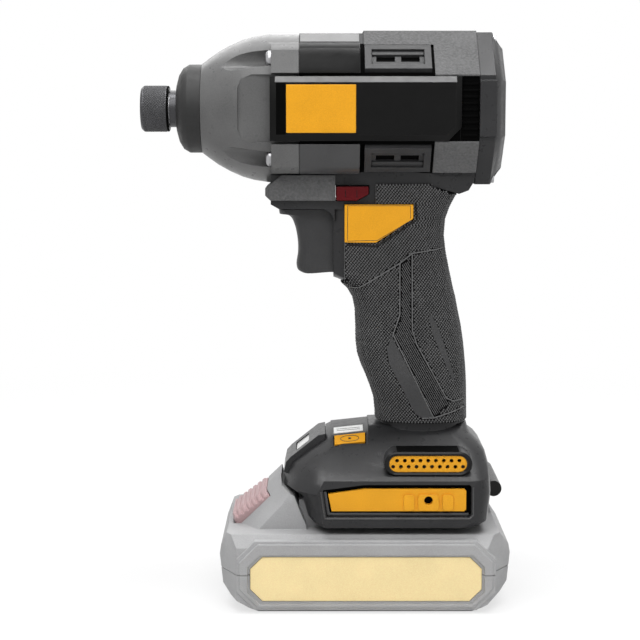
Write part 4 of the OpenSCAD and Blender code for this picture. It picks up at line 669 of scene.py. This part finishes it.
class DRIVER_OT_recesses(DriverStep, bpy.types.Operator):
    """Plates of painted shade in the slots, gaps and recess floors, with louvres and lips, covers on the
    head's slopes, and grey strips and rims of painted highlight
    """
    bl_idname = "driver.recesses"
    bl_label = "Recesses"
    # Upright plates on both sides, with outlines [x, z] and distances y from the middle
    # A black plate of painted shade that fills each exhaust slot, with louvres in front of it
    EXHAUST_SHADE = box_outline(-42.3, -35.4, 180.8, 205.2)
    EXHAUST_SHADE_Y = (27.45, 27.7)
    LOUVRES = 9
    LOUVRE_X = (-42.1, -35.7)
    LOUVRE_Y = (27.5, 28.3)
    LOUVRE_Z = 182.6
    LOUVRE_PITCH = 2.4
    LOUVRE_H = 0.9
    LOUVRE_EDGE = 0.2
    LIP = box_outline(30.6, 34.2, 183.4, 202.6)
    LIP_Y = (31.4, 31.56)
    # A black plate of painted shade on the housing's side behind the side panels, where the gap lies in
    # shade
    GAP = box_outline(-35.3, 25.4, 179.7, 206.3)
    GAP_Y = (27.3, 27.72)
    # A black plate of painted shade on the floor of the foot's recess, round the yellow plate
    FLOOR = [(-40.5, 38.1), (-39.7, 37.3), (15.1, 37.3), (16.5, 47.5), (0.6, 49.5), (-39.7, 49.5),
             (-40.5, 48.7)]
    FLOOR_Y = (31.55, 31.68)
    # Grey ledge and rim along the edges of the foot's recess, painted as the highlight on its bevelled edge
    LEDGE = [(-39.7, 37.35), (15.05, 37.35), (16.4, 47.0), (15.2, 47.0), (14.0, 38.5), (-39.7, 38.5)]
    LEDGE_Y = (31.6, 33.4)
    LEDGE_EDGE = 0.3
    RIM = [(17.4, 47.0), (15.8, 36.6), (-39.9, 36.6), (-41.2, 37.9), (-41.2, 48.6)]
    RIM_R = 0.34
    RIM_LIFT = 0.05
    # Covers along the head, as [y, z] from the drive axis. The slope's strips start and end at distances
    # from its upper edge, and rise above it and sink into it.
    SLOPE_TOP = Vector((10.02, 28.8))
    SLOPE_END = Vector((27.5, 12.38))
    RAIL = [(13.4, 24.0), (13.4, 25.05), (21.57, 24.66), (25.72, 22.11), (29.16, 13.25), (27.4, 13.25),
            (21.0, 20.0)]
    RAIL_X = (2.65, 25.5)
    RAIL_EDGE = 0.25
    # Black strips on the slopes, painted shade round the vent inserts
    SHADE_STRIP = (6.2, 23.8)
    SHADE_STRIP_X = (-26.4, 2.5)
    SHADE_STRIP_RISE = 0.15
    BARS = ((12.1, 14.3), (18.1, 20.3))
    BAR_X = (-21.7, -1.9)
    BAR_RISE = 1.7
    BAR_EDGE = 0.2
    # A band of painted highlight down from the slope's upper edge
    TOP_BAND = (0.2, 4.9)
    TOP_BAND_X = (2.7, 25.4)
    TOP_BAND_RISE = 0.12
    STRIP_SINK = 1.0

    def make(self, context, sizes):
        # Black plates of painted shade in the exhaust slots, then louvres across them
        shade_and_louvres = plates("exhaust_shade", self.EXHAUST_SHADE, *self.EXHAUST_SHADE_Y)
        for k in range(self.LOUVRES):
            low = self.LOUVRE_Z + k * self.LOUVRE_PITCH
            louvre = box_outline(*self.LOUVRE_X, low, low + self.LOUVRE_H)
            shade_and_louvres += plates("louvre", louvre, *self.LOUVRE_Y, bevel=self.LOUVRE_EDGE)
        joined("exhaust_shade_and_louvres", shade_and_louvres)
        joined("panel_lips", plates("lip", self.LIP, *self.LIP_Y))
        # Black plates of painted shade on the recess floors
        joined("recess_floor_shade", plates("floor", self.FLOOR, *self.FLOOR_Y))
        # Black plates of painted shade in the gap behind the side panels
        joined("panel_gap_shade", plates("gap", self.GAP, *self.GAP_Y))
        self.rail_covers("upper_rail_covers", 1, "rail_black")
        self.vents()
        # The lower rail covers are painted a lighter grey than the upper ones, a painted highlight from
        # light falling on them from below
        self.rail_covers("lower_rail_covers", -1, "highlight_grey")
        # Ledges painted grey as a highlight along the recess's edge
        joined("recess_ledge_highlights", plates("ledge", self.LEDGE, *self.LEDGE_Y, "housing_plastic", "highlight_grey",
                                       self.LEDGE_EDGE))
        # Light grey strips laid on the upper slopes as a painted highlight
        joined("top_painted_highlights", self.strips("band", 1, self.TOP_BAND, self.TOP_BAND_RISE, self.TOP_BAND_X,
                                        "housing_plastic", "band_painted_highlight"))
        shells = surface(frame["nodes"]["left_housing"], frame["nodes"]["right_housing"])
        # Grey beads along the recess's rim, a painted highlight
        rims = [laid_on(shells, self.RIM, side, 1.0, self.RIM_LIFT) for side in SIDES]
        bead("recess_rim_highlights", rims, self.RIM_R * MM, "housing", "housing_plastic", "highlight_grey")

    def vents(self):
        """Black strips of painted shade by the upper and lower vents, with two bars across each"""
        shade_strips = []
        bars = []
        for up in (1, -1):
            # Near black strips of painted shade
            shade_strips += self.strips("shade_strip", up, self.SHADE_STRIP, self.SHADE_STRIP_RISE, self.SHADE_STRIP_X,
                                    "inner_plastic", "deep_black")
            for bar in self.BARS:
                bars += self.strips("bar", up, bar, self.BAR_RISE, self.BAR_X, "panel_plastic", None,
                                    self.BAR_EDGE)
        joined("vent_shade_strips", shade_strips)
        joined("vent_bars", bars)

    def rail_covers(self, name, up, finish):
        """Covers of the bolt rails above or below the drive axis"""
        joined(name, [prism("rail", [(side * y, AXIS_Z + up * z) for y, z in self.RAIL], 0, *self.RAIL_X,
                            "housing", "housing_plastic", finish, self.RAIL_EDGE) for side in SIDES])

    def strips(self, name, up, span, rise, x_span, slot, finish, bevel=0.0):
        """The same strip on the slopes of both sides"""
        along = (self.SLOPE_END - self.SLOPE_TOP).normalized()
        out = Vector((-along.y, along.x))
        start, end = (self.SLOPE_TOP + along * place for place in span)
        sink = self.STRIP_SINK
        outline = [start - out * sink, start + out * rise, end + out * rise, end - out * sink]
        return [prism(name, [(side * p.x, AXIS_Z + up * p.y) for p in outline], 0, *x_span, "housing", slot,
                      finish, bevel) for side in SIDES]


class DRIVER_OT_rubber(DriverStep, bpy.types.Operator):
    """Bumpers and nose boot"""
    bl_idname = "driver.rubber"
    bl_label = "Bumpers"
    # The front band seen from above as [x, y], its heights, the planes that cut its front edge, and the
    # bore that clears the gear case
    BAND_SIDE = [(11.8, 16.8), (34.6, 16.8), (36.6, 16.2), (38.4, 14.6), (39.0, 13.0)]
    BAND_INNER = [(11.8, -14.8), (36.9, -14.8), (36.9, 14.8), (11.8, 14.8)]
    BAND_Z = (157.8, 167.6)
    FRONT_CUTS = (((39.0, 0, 162.4), (0.62, 0, 0.78)), ((39.0, 0, 159.6), (0.66, 0, -0.75)))
    BORE_R = 29.2
    BORE_X = 40.0
    BORE_LENGTH = 60.0

    def make(self, context, sizes):
        skin("rear_bumper", sizes.edge_round)
        self.front_bumper(sizes)
        skin("nose_boot", finish="boot_rubber")

    def front_bumper(self, sizes):
        """One band round the front of the shelf, cut to clear the gear case"""
        outer = self.BAND_SIDE + [(x, -y) for x, y in reversed(self.BAND_SIDE)]
        band = prism("front_bumper_skin", outer + self.BAND_INNER, 2, *self.BAND_Z, "housing",
                     SLOT_OF["front_bumper"])
        bpy.ops.object.mode_set(mode="EDIT")
        for place, facing in self.FRONT_CUTS:
            bpy.ops.mesh.select_all(action="SELECT")
            bpy.ops.mesh.bisect(plane_co=Vector(place) * MM, plane_no=facing, use_fill=True,
                                clear_outer=True)
        edit_done()
        bpy.ops.object.select_all(action="DESELECT")
        bpy.ops.mesh.primitive_cylinder_add(
            vertices=96, radius=self.BORE_R * MM, depth=self.BORE_LENGTH * MM,
            location=(self.BORE_X * MM, 0, AXIS_Z * MM), rotation=(0, math.pi / 2, 0))
        bore = bpy.context.active_object
        bpy.ops.object.transform_apply(location=True, rotation=True, scale=True)
        apply_modifier(band, "BOOLEAN", operation="DIFFERENCE", object=bore, solver="EXACT")
        bpy.data.objects.remove(bore)
        round_edges(band, sizes.edge_round)
        shade_smooth(band)
        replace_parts(band, "front_bumper")


class DRIVER_OT_grip(DriverStep, bpy.types.Operator):
    """Grip rubber with its diamonds, beads and smooth plates"""
    bl_idname = "driver.grip"
    bl_label = "Grip"
    LINES = (SEAM, BAND_FRONT, BAND_REAR, GRIP_HEM)
    BAND = BAND_FRONT + BAND_REAR[-2::-1]
    # Distance that diamonds keep from the lines, and how far the beads stand out of the rubber
    KEEP_OFF = 0.42
    BEAD_LIFT = 0.12
    # Step between the rows of diamonds, and a diamond's half width and half height, as shares of the pitch
    ROW_SHARE = 0.56
    HALF_WIDTH = 0.42
    HALF_HEIGHT = 0.4704
    SUNK = 0.05
    # Heights and the middle line of the grip, as x at both heights
    LOW_Z = 70.0
    HIGH_Z = 164.0
    MIDDLE_X = (-23.0, -13.0)
    # Steps of a walk along a row, and how far a diamond may face up or down
    WALK_STEPS = 60
    STEEPEST = 0.8
    # The band's slanted lines, as [x, z], their numbers and the steps along each
    HATCH_START = Vector((-13.0, 138.0))
    HATCH_WAY = Vector((-0.5, -0.87))
    HATCH_ACROSS = Vector((0.87, -0.5))
    HATCH_LINES = range(-50, 30)
    HATCH_STEPS = 100

    def make(self, context, sizes):
        left = skin("grip_rubber_left", smooth=45.0)
        right = skin("grip_rubber_right", smooth=45.0)
        self.rubber = surface(left, right)
        self.others = surface(*(frame["nodes"][node] for node in (
            "left_housing", "right_housing", "grip_inlays", "trigger")))
        self.diamonds(sizes)
        # The band's slanted lines take the diamonds' painted highlight
        bead("grip_band", self.hatch(sizes.fine_pitch), sizes.bead_radius * 0.6, "housing", "grip_rubber",
             "diamond_painted_highlight")
        runs = [laid_on(self.rubber, line, side, lift=self.BEAD_LIFT)
                for line in self.LINES for side in SIDES]
        bead("grip_beads", runs, sizes.bead_radius, "housing", "grip_rubber", "bead_painted_sheen")
        for side, word, target in ((1, "left", left), (-1, "right", right)):
            smooth_plate("grip_leaf_" + word, target, LEAF, side, sizes.plate_rise)
            smooth_plate("grip_sliver_" + word, target, SLIVER, side, sizes.plate_rise)

    def wanted(self, at, in_band):
        """Whether a point [x, z] lies in the band or in the open field, clear of plates and lines"""
        if inside(at, LEAF) or inside(at, SLIVER) or inside(at, self.BAND) != in_band:
            return False
        return min(gap_to(at, line) for line in self.LINES) > self.KEEP_OFF

    def cast(self, z, angle):
        """The rubber's point and normal at a height and an angle round the grip, and whether it shows"""
        share = (z / MM - self.LOW_Z) / (self.HIGH_Z - self.LOW_Z)
        middle_x = self.MIDDLE_X[0] + (self.MIDDLE_X[1] - self.MIDDLE_X[0]) * share
        way = Vector((math.cos(angle), math.sin(angle), 0.0))
        start = Vector((middle_x * MM, 0.0, z)) + way * CLEAR_OF_GRIP
        hit, normal, _, reach = self.rubber.ray_cast(start, -way)
        if hit is None:
            return None
        _, _, _, blocked = self.others.ray_cast(start, -way)
        return hit, normal, blocked is None or blocked >= reach

    def diamonds(self, sizes):
        """Small diamonds in staggered rows round the grip"""
        pitch = sizes.diamond_pitch
        row_step = pitch * self.ROW_SHARE
        corners = []
        faces = []

        def stand(hit, normal):
            along = Vector((0, 0, 1)).cross(normal).normalized() * pitch * self.HALF_WIDTH
            up = normal.cross(along).normalized() * pitch * self.HALF_HEIGHT
            base = len(corners)
            foot = hit - normal * self.SUNK * MM
            tip = hit + normal * sizes.diamond_rise
            corners.extend([foot + along, foot + up, foot - along, foot - up, tip])
            faces.extend((base + k, base + (k + 1) % 4, base + 4) for k in range(4))

        for row in range(int((self.HIGH_Z + 1.0 - self.LOW_Z) * MM / row_step)):
            z = self.LOW_Z * MM + row * row_step
            for side in SIDES:
                for sense in (1, -1):
                    first = 0.5 * pitch if row % 2 else (0.0 if sense > 0 else pitch)
                    for hit, normal in self.walk(z, side, sense, first, pitch):
                        if abs(normal.z) < self.STEEPEST and self.wanted((hit.x / MM, hit.z / MM), False):
                            stand(hit, normal)
        # The diamonds take a painted highlight, a lighter colour than the rubber under them
        seat(new_mesh("grip_diamonds", corners, faces), "housing", "grip_rubber", "diamond_painted_highlight")

    def walk(self, z, side, sense, next_at, pitch):
        """Points that show, a pitch apart along a row, from a side's middle to the front or the rear"""
        travelled = 0.0
        last_angle = side * math.pi / 2
        last = self.cast(z, last_angle)
        for i in range(1, self.WALK_STEPS + 1):
            angle = side * math.pi / 2 + sense * i / self.WALK_STEPS * math.pi / 2
            found = self.cast(z, angle)
            if found and last:
                step = (found[0] - last[0]).length
                while next_at <= travelled + step:
                    place = self.cast(z, last_angle + (angle - last_angle) * (next_at - travelled) / step)
                    next_at += pitch
                    if place and place[2]:
                        yield place[0], place[1]
                travelled += step
            last = found
            last_angle = angle

    def hatch(self, pitch):
        """Slanted lines over the band, each broken where the band ends"""
        runs = []
        for side in SIDES:
            for k in self.HATCH_LINES:
                run = []
                for i in range(self.HATCH_STEPS):
                    at = self.HATCH_START + self.HATCH_ACROSS * (k * pitch / MM) + self.HATCH_WAY * i
                    if self.wanted(tuple(at), True):
                        run += laid_on(self.rubber, [tuple(at), tuple(at + self.HATCH_WAY)], side, 2.0)[:1]
                    else:
                        runs.append(run)
                        run = []
                runs.append(run)
        return [run for run in runs if len(run) > 1]


class DRIVER_OT_trim(DriverStep, bpy.types.Operator):
    """Yellow plates, inlays and grilles"""
    bl_idname = "driver.trim"
    bl_label = "Yellow trim"
    # Distances of the line on an inlay and of the bead round it from the inlay's corners
    INLAY_LINE_IN = 1.5
    INLAY_EDGE_OUT = 0.9
    INLAY_EDGE_R = 0.45
    # The rim round a grille: its middle [x, z], half of its straight length, its end radius and its own
    GRILLE = (-24.0, 57.2)
    GRILLE_STRAIGHT = 12.1
    GRILLE_R = 4.1
    GRILLE_RIM_R = 0.85
    GRILLE_Y = 30.8
    # A thin black plate on top of each grille's boss, painted shade where the grille lies under a hood
    GRILLE_SHADE = box_outline(-36.0, -12.0, 61.9, 62.1)
    GRILLE_SHADE_Y = (17.0, 30.8)

    def make(self, context, sizes):
        skin("name_plates", sizes.edge_round * 0.6)
        inlays = skin("grip_inlays", sizes.edge_round, 30.0)
        skin("foot_vents")
        skin("accessory_plates")
        line = moved_out(INLAY, -self.INLAY_LINE_IN)
        runs = [laid_on(surface(inlays), line + line[:1], side, 1.0) for side in SIDES]
        bead("inlay_lines", runs, sizes.line_radius * 0.8, "housing", "yellow_plastic", "panel_plastic")
        rubber = surface(frame["nodes"]["grip_rubber_left"], frame["nodes"]["grip_rubber_right"])
        # A black bead round each inlay, painted shade in the gap between the inlay and the rubber
        edge = moved_out(INLAY, self.INLAY_EDGE_OUT)
        runs = [laid_on(rubber, edge[1:] + edge[:1], side, 1.0) for side in SIDES]
        bead("inlay_gap_shade", runs, self.INLAY_EDGE_R * MM, "housing", "grip_rubber", "gloss_black")
        self.grilles()

    def grilles(self):
        """Rims round the grilles, and black plates above them that paint the shade under a hood"""
        steps = 48
        rims = []
        for side in SIDES:
            run = []
            for k in range(steps):
                angle = k / steps * 2 * math.pi
                x = self.GRILLE[0] + math.copysign(self.GRILLE_STRAIGHT, math.cos(angle))
                run.append(Vector((x + self.GRILLE_R * math.cos(angle), side * self.GRILLE_Y,
                                   self.GRILLE[1] + self.GRILLE_R * math.sin(angle))) * MM)
            rims.append(run)
        bead("grille_rims", rims, self.GRILLE_RIM_R * MM, "housing", "inner_plastic", "gloss_black",
             closed=True)
        # Black plates of painted shade above the grilles
        joined("grille_hood_shade", plates("top", self.GRILLE_SHADE, *self.GRILLE_SHADE_Y))


class DRIVER_OT_controls(DriverStep, bpy.types.Operator):
    """Trigger, direction selector, mode button and lamp"""
    bl_idname = "driver.controls"
    bl_label = "Controls"
    # The trigger's front as [x, z], how far it falls back at distances from its middle, where that starts
    # and where it is full, and the top edge's share of it
    TRIGGER_FRONT = [(33.6, 152.0), (29.6, 151.2), (27.6, 147.6), (26.5, 142.0), (26.4, 137.0),
                     (27.0, 132.8), (26.4, 130.0), (24.4, 128.8)]
    TRIGGER_TOP = [(10.4, 154.0), (33.9, 154.0)]
    TRIGGER_LOW = [(14.0, 129.4), (10.4, 129.4)]
    TRIGGER_ROUND = ((4.5, 0.0), (6.5, 0.35), (8.0, 1.1), (9.0, 2.2), (9.5, 3.6))
    ROUND_FROM_X = 20.0
    ROUND_FULL_X = 24.0
    TOP_SHARE = 0.3
    # Lines on the selector's ends
    SELECTOR_X = (3.5, 7.9)
    SELECTOR_Y = 18.4
    SELECTOR_Z = (159.3, 162.0)
    # Half lengths of the marks on the button and the window
    RING = (3.6, 1.5)
    DOT = 0.5
    ROW = 4.6
    ROW_GAP = 0.7
    # Round corners of the guard, and how far they sink into its rear and its top
    FILLET_R = 5.0
    FILLET_CORNER = (12.3, 154.5)
    FILLET_Y = (10.1, 14.55)
    FILLET_SINK = (0.3, 0.4)

    def make(self, context, sizes):
        self.trigger(sizes)
        skin("direction_selector", sizes.edge_round)
        button = lean(skin("mode_button", sizes.edge_round * 0.6))
        window = lean(skin("mode_window"))
        skin("lamp_lens", sizes.edge_round * 0.6)
        self.marks(sizes, button, window)
        self.guard_fillets()

    def marks(self, sizes, button, window):
        """Plain lines on the selector, a ring and a dot on the button and rows on the window"""
        line = sizes.line_radius
        runs = [[Vector((x, side * self.SELECTOR_Y, z)) * MM for z in self.SELECTOR_Z]
                for x in self.SELECTOR_X for side in SIDES]
        bead("selector_lines", runs, line, BODY_OF["direction_selector"], "red_plastic", "gloss_black")
        middle, along, up = self.upper_face(button)
        ring = [middle + along * self.RING[0] * MM * math.cos(a / 16 * math.pi)
                + up * self.RING[1] * MM * math.sin(a / 16 * math.pi) for a in range(32)]
        dot = [middle + along * end * self.DOT * MM for end in (1, -1)]
        body = BODY_OF["mode_button"]
        bead("mode_mark", [ring], line, body, "yellow_plastic", "panel_plastic", closed=True)
        bead("mode_dot", [dot], line * 3, body, "yellow_plastic", "panel_plastic")
        middle, along, up = self.upper_face(window)
        rows = [[middle + along * end * self.ROW * MM + up * row * self.ROW_GAP * MM for end in (-1, 1)]
                for row in (-1, 1)]
        bead("window_rows", rows, line * 0.8, BODY_OF["mode_window"], "white_plastic", "panel_plastic")

    def upper_face(self, piece):
        """Middle of a piece's largest face that looks up, and its directions along X and up the slope"""
        face = max((f for f in piece.data.polygons if f.normal.z > 0.3), key=lambda f: f.area)
        up = face.normal.cross(Vector((1, 0, 0))).normalized()
        return face.center.copy(), up.cross(face.normal), up

    def trigger(self, sizes):
        """Trigger with a hollow front and rounded sides"""
        outline = self.TRIGGER_TOP + smooth_line(self.TRIGGER_FRONT, 4) + self.TRIGGER_LOW
        half = self.TRIGGER_ROUND[-1][0]
        piece = prism("trigger_skin", outline, 1, -half, half, BODY_OF["trigger"], SLOT_OF["trigger"])
        bpy.ops.object.mode_set(mode="EDIT")
        for reach, _ in self.TRIGGER_ROUND[:-1]:
            for side in SIDES:
                bpy.ops.mesh.select_all(action="SELECT")
                bpy.ops.mesh.bisect(plane_co=(0, side * reach * MM, 0), plane_no=(0, 1, 0))
        edit_done()
        for corner in piece.data.vertices:
            share = (corner.co.x / MM - self.ROUND_FROM_X) / (self.ROUND_FULL_X - self.ROUND_FROM_X)
            share = min(1.0, max(0.0, share))
            if corner.co.z > (self.TRIGGER_TOP[0][1] - 1.0) * MM:
                share *= self.TOP_SHARE
            corner.co.x -= share * self.fall_back(abs(corner.co.y) / MM) * MM
        round_edges(piece, sizes.edge_round, 50.0)
        shade_smooth(piece, 38.0)
        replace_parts(piece, "trigger")

    def fall_back(self, reach):
        """How far the trigger's front falls back at a distance from its middle"""
        for (inner, less), (outer, more) in zip(self.TRIGGER_ROUND, self.TRIGGER_ROUND[1:]):
            if inner < reach <= outer + 0.01:
                return less + (more - less) * (reach - inner) / (outer - inner)
        return 0.0

    def guard_fillets(self):
        """Round corners where the guard meets the head, on both sides of the trigger"""
        x, z = self.FILLET_CORNER
        r = self.FILLET_R
        rear = x - self.FILLET_SINK[0]
        top = z + self.FILLET_SINK[1]
        turns = [k / 6 * math.pi / 2 for k in range(7)]
        arc = [(x + r - r * math.sin(a), z - r + r * math.cos(a)) for a in turns]
        outline = [(rear, top), (x + r, top)] + arc + [(rear, z - r)]
        joined("guard_fillets", plates("fillet", outline, *self.FILLET_Y, "housing_plastic", None))


class DRIVER_OT_nose(DriverStep, bpy.types.Operator):
    """Gear case, bolts, anvil, collet and belt hook"""
    bl_idname = "driver.nose"
    bl_label = "Nose"
    # Diamonds round the collet, and how far they keep from its ends
    DIAMONDS = 54
    REAR_GAP = 1.3
    FRONT_GAP = 1.1
    # The black ring: its distance from the rear end, its depth under the surface and its radius
    RING_GAP = 0.5
    RING_SINK = 0.3
    RING_R = 0.5

    def make(self, context, sizes):
        skin("gear_case", smooth=30.0)
        for node in ("case_bolts", "housing_screws", "hook_screw", "anvil"):
            skin(node)
        skin("anvil_bush", finish="dark_steel")
        skin("collet_sleeve", smooth=25.0)
        self.knurl(sizes)
        skin("belt_hook", sizes.edge_round, finish="gloss_black")

    def knurl(self, sizes):
        """Crossed knurl and a black ring on the collet sleeve"""
        low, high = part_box("collet_sleeve")
        radius = (high[1] - low[1]) / 2
        tip = radius + sizes.diamond_rise * 0.7
        half = math.pi / self.DIAMONDS
        step = radius * half
        start = low[0] + self.REAR_GAP * MM
        end = high[0] - self.FRONT_GAP * MM

        def at(x, angle, reach):
            return Vector((x, reach * math.cos(angle), AXIS_Z * MM + reach * math.sin(angle)))

        corners = []
        faces = []
        for row in range(int((end - start) / step) + 1):
            x = start + row * step
            for k in range(self.DIAMONDS):
                angle = (2 * k + row % 2) * half
                base = len(corners)
                corners += [at(x + step, angle, radius), at(x, angle + half, radius),
                            at(x - step, angle, radius), at(x, angle - half, radius), at(x, angle, tip)]
                faces += [(base + (n + 1) % 4, base + n, base + 4) for n in range(4)]
        piece = new_mesh("collet_knurl", corners, faces)
        edit_all(piece)
        bpy.ops.mesh.remove_doubles(threshold=0.01 * MM)
        edit_done()
        body = BODY_OF["collet_sleeve"]
        slot = SLOT_OF["collet_sleeve"]
        seat(piece, body, slot, "knurl_black")
        ring = [at(low[0] + self.RING_GAP * MM, k / 36 * 2 * math.pi, radius - self.RING_SINK * MM)
                for k in range(36)]
        bead("collet_ring_line", [ring], self.RING_R * MM, body, slot, "deep_black", closed=True)


class DRIVER_OT_springs(DriverStep, bpy.types.Operator):
    """Smooth copies of the springs that the joints name, each with a mesh of its own"""
    bl_idname = "driver.springs"
    bl_label = "Springs"

    def make(self, context, sizes):
        for joint in frame["record"]["behaviour"]["joints"]:
            for spring in joint.get("deforming_nodes", []):
                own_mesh(skin(spring["node"]))


class DRIVER_OT_pack(DriverStep, bpy.types.Operator):
    """Battery pack with its labels and release button"""
    bl_idname = "driver.pack"
    bl_label = "Battery pack"

    def make(self, context, sizes):
        skin("pack_base", sizes.edge_round)
        skin("pack_top", sizes.edge_round)
        skin("pack_labels", sizes.edge_round * 0.5)
        skin("pack_release", sizes.edge_round)


class DRIVER_OT_stage(DriverStep, bpy.types.Operator):
    """Floor, lights, world and camera"""
    bl_idname = "driver.stage"
    bl_label = "Stage"
    # Each light's name, place, aim, width and depth in metres, and its power in watts
    LIGHTS = (("strip", (0.0, 0.05, 0.95), (0.0, 0.0, 0.12), 1.0, 0.14, 8.0),
              ("front", (0.1, 0.55, 0.75), (0.0, 0.0, 0.13), 0.9, 0.55, 5.4),
              ("back", (0.0, -0.6, 0.75), (0.0, 0.0, 0.16), 1.0, 0.8, 5.0),
              ("fill", (-0.45, 0.8, 0.3), (0.0, 0.0, 0.12), 0.5, 0.5, 0.8))
    LENS_MM = 91.4
    CAMERA_AIM = Vector((0.0177, 0.0, 0.1092))
    CAMERA_TILT = math.radians(7.4)
    CAMERA_REACH = 0.65
    FLOOR_TONES = (0.74, 0.78)
    # Strength of the world as a light, as a share of what is seen
    WORLD_FILL = 0.16

    def make(self, context, sizes):
        bpy.ops.object.select_all(action="DESELECT")
        bpy.ops.mesh.primitive_plane_add(size=6.0, location=(0, 0, 0))
        floor = context.active_object
        floor.name = "floor"
        floor.data.materials.append(self.pale_floor())
        for name, place, aim, width, depth, power in self.LIGHTS:
            light = bpy.data.lights.new(name, "AREA")
            light.shape = "RECTANGLE"
            light.size = width
            light.size_y = depth
            light.energy = power
            self.stand(context.scene, name, light, Vector(place), Vector(aim))
        self.white_world(context.scene)
        view = bpy.data.cameras.new("camera")
        view.sensor_width = 36.0
        view.lens = self.LENS_MM
        away = Vector((0.0, math.cos(self.CAMERA_TILT), math.sin(self.CAMERA_TILT))) * self.CAMERA_REACH
        place = self.CAMERA_AIM + away
        context.scene.camera = self.stand(context.scene, "camera", view, place, self.CAMERA_AIM)
        context.scene.view_settings.view_transform = "Standard"

    def stand(self, scene, name, data, place, aim):
        """A light or camera at a place, turned to its aim"""
        item = bpy.data.objects.new(name, data)
        scene.collection.objects.link(item)
        item.location = place
        item.rotation_euler = (aim - place).to_track_quat("-Z", "Y").to_euler()
        return item

    def pale_floor(self):
        finish = Finish("pale_floor")
        seen = finish.background_seen()
        cloud = finish.noise(3.0, 2.0, finish.place())
        tone = finish.blend(cloud, *(rgba([grey] * 3) for grey in self.FLOOR_TONES))
        finish.shade(Base_Color=tone, Roughness=0.9, Specular_IOR_Level=0.0)
        glow = finish.add("ShaderNodeEmission", {}, {"Color": rgba([1.0] * 3), "Strength": 1.0})
        plain = Wire(finish, finish.shader.outputs[0])
        reach = finish.add("ShaderNodeVectorMath", {"operation": "LENGTH"}, {0: finish.place()}, "Value")
        glowing = seen * (finish.ramp(reach, 0.15, 0.6) * 0.3 + 0.7)
        mixed = finish.add("ShaderNodeMixShader", {}, {0: glowing, 1: plain, 2: glow})
        finish.put(finish.tree.nodes["Material Output"].inputs["Surface"], mixed)
        return finish.material

    def white_world(self, scene):
        """White where it is seen, and faint as a light"""
        world = bpy.data.worlds.new("white_world")
        world.use_nodes = True
        scene.world = world
        sky = Nodes(world.node_tree)
        background = world.node_tree.nodes["Background"]
        sky.put(background.inputs["Color"], rgba([1.0] * 3))
        sky.put(background.inputs["Strength"],
                sky.background_seen() * (1.0 - self.WORLD_FILL) + self.WORLD_FILL)


STEPS = (DRIVER_OT_finishes, DRIVER_OT_shells, DRIVER_OT_recesses, DRIVER_OT_rubber, DRIVER_OT_grip,
         DRIVER_OT_trim, DRIVER_OT_controls, DRIVER_OT_nose, DRIVER_OT_springs, DRIVER_OT_pack,
         DRIVER_OT_stage)


class DRIVER_PT_panel(bpy.types.Panel):
    """The driver's sizes, colours and steps"""
    bl_idname = "DRIVER_PT_panel"
    bl_label = "Impact driver"
    bl_space_type = "VIEW_3D"
    bl_region_type = "UI"
    bl_category = "Driver"

    def draw(self, context):
        for group in (context.scene.driver_sizes, context.scene.driver_colours):
            for name in group.__annotations__:
                self.layout.prop(group, name)
        for step in STEPS:
            self.layout.operator(step.bl_idname)


CLASSES = (DRIVER_PG_sizes, DRIVER_PG_colours, *STEPS, DRIVER_PT_panel)


def register():
    for item in CLASSES:
        bpy.utils.register_class(item)
    bpy.types.Scene.driver_sizes = bpy.props.PointerProperty(type=DRIVER_PG_sizes)
    bpy.types.Scene.driver_colours = bpy.props.PointerProperty(type=DRIVER_PG_colours)


def unregister():
    del bpy.types.Scene.driver_colours
    del bpy.types.Scene.driver_sizes
    for item in reversed(CLASSES):
        bpy.utils.unregister_class(item)


def main():
    register()
    bpy.ops.driver.finishes()
    bpy.ops.driver.shells()
    bpy.ops.driver.recesses()
    bpy.ops.driver.rubber()
    bpy.ops.driver.grip()
    bpy.ops.driver.trim()
    bpy.ops.driver.controls()
    bpy.ops.driver.nose()
    bpy.ops.driver.springs()
    bpy.ops.driver.pack()
    bpy.ops.driver.stage()


if __name__ == "__main__":
    main()
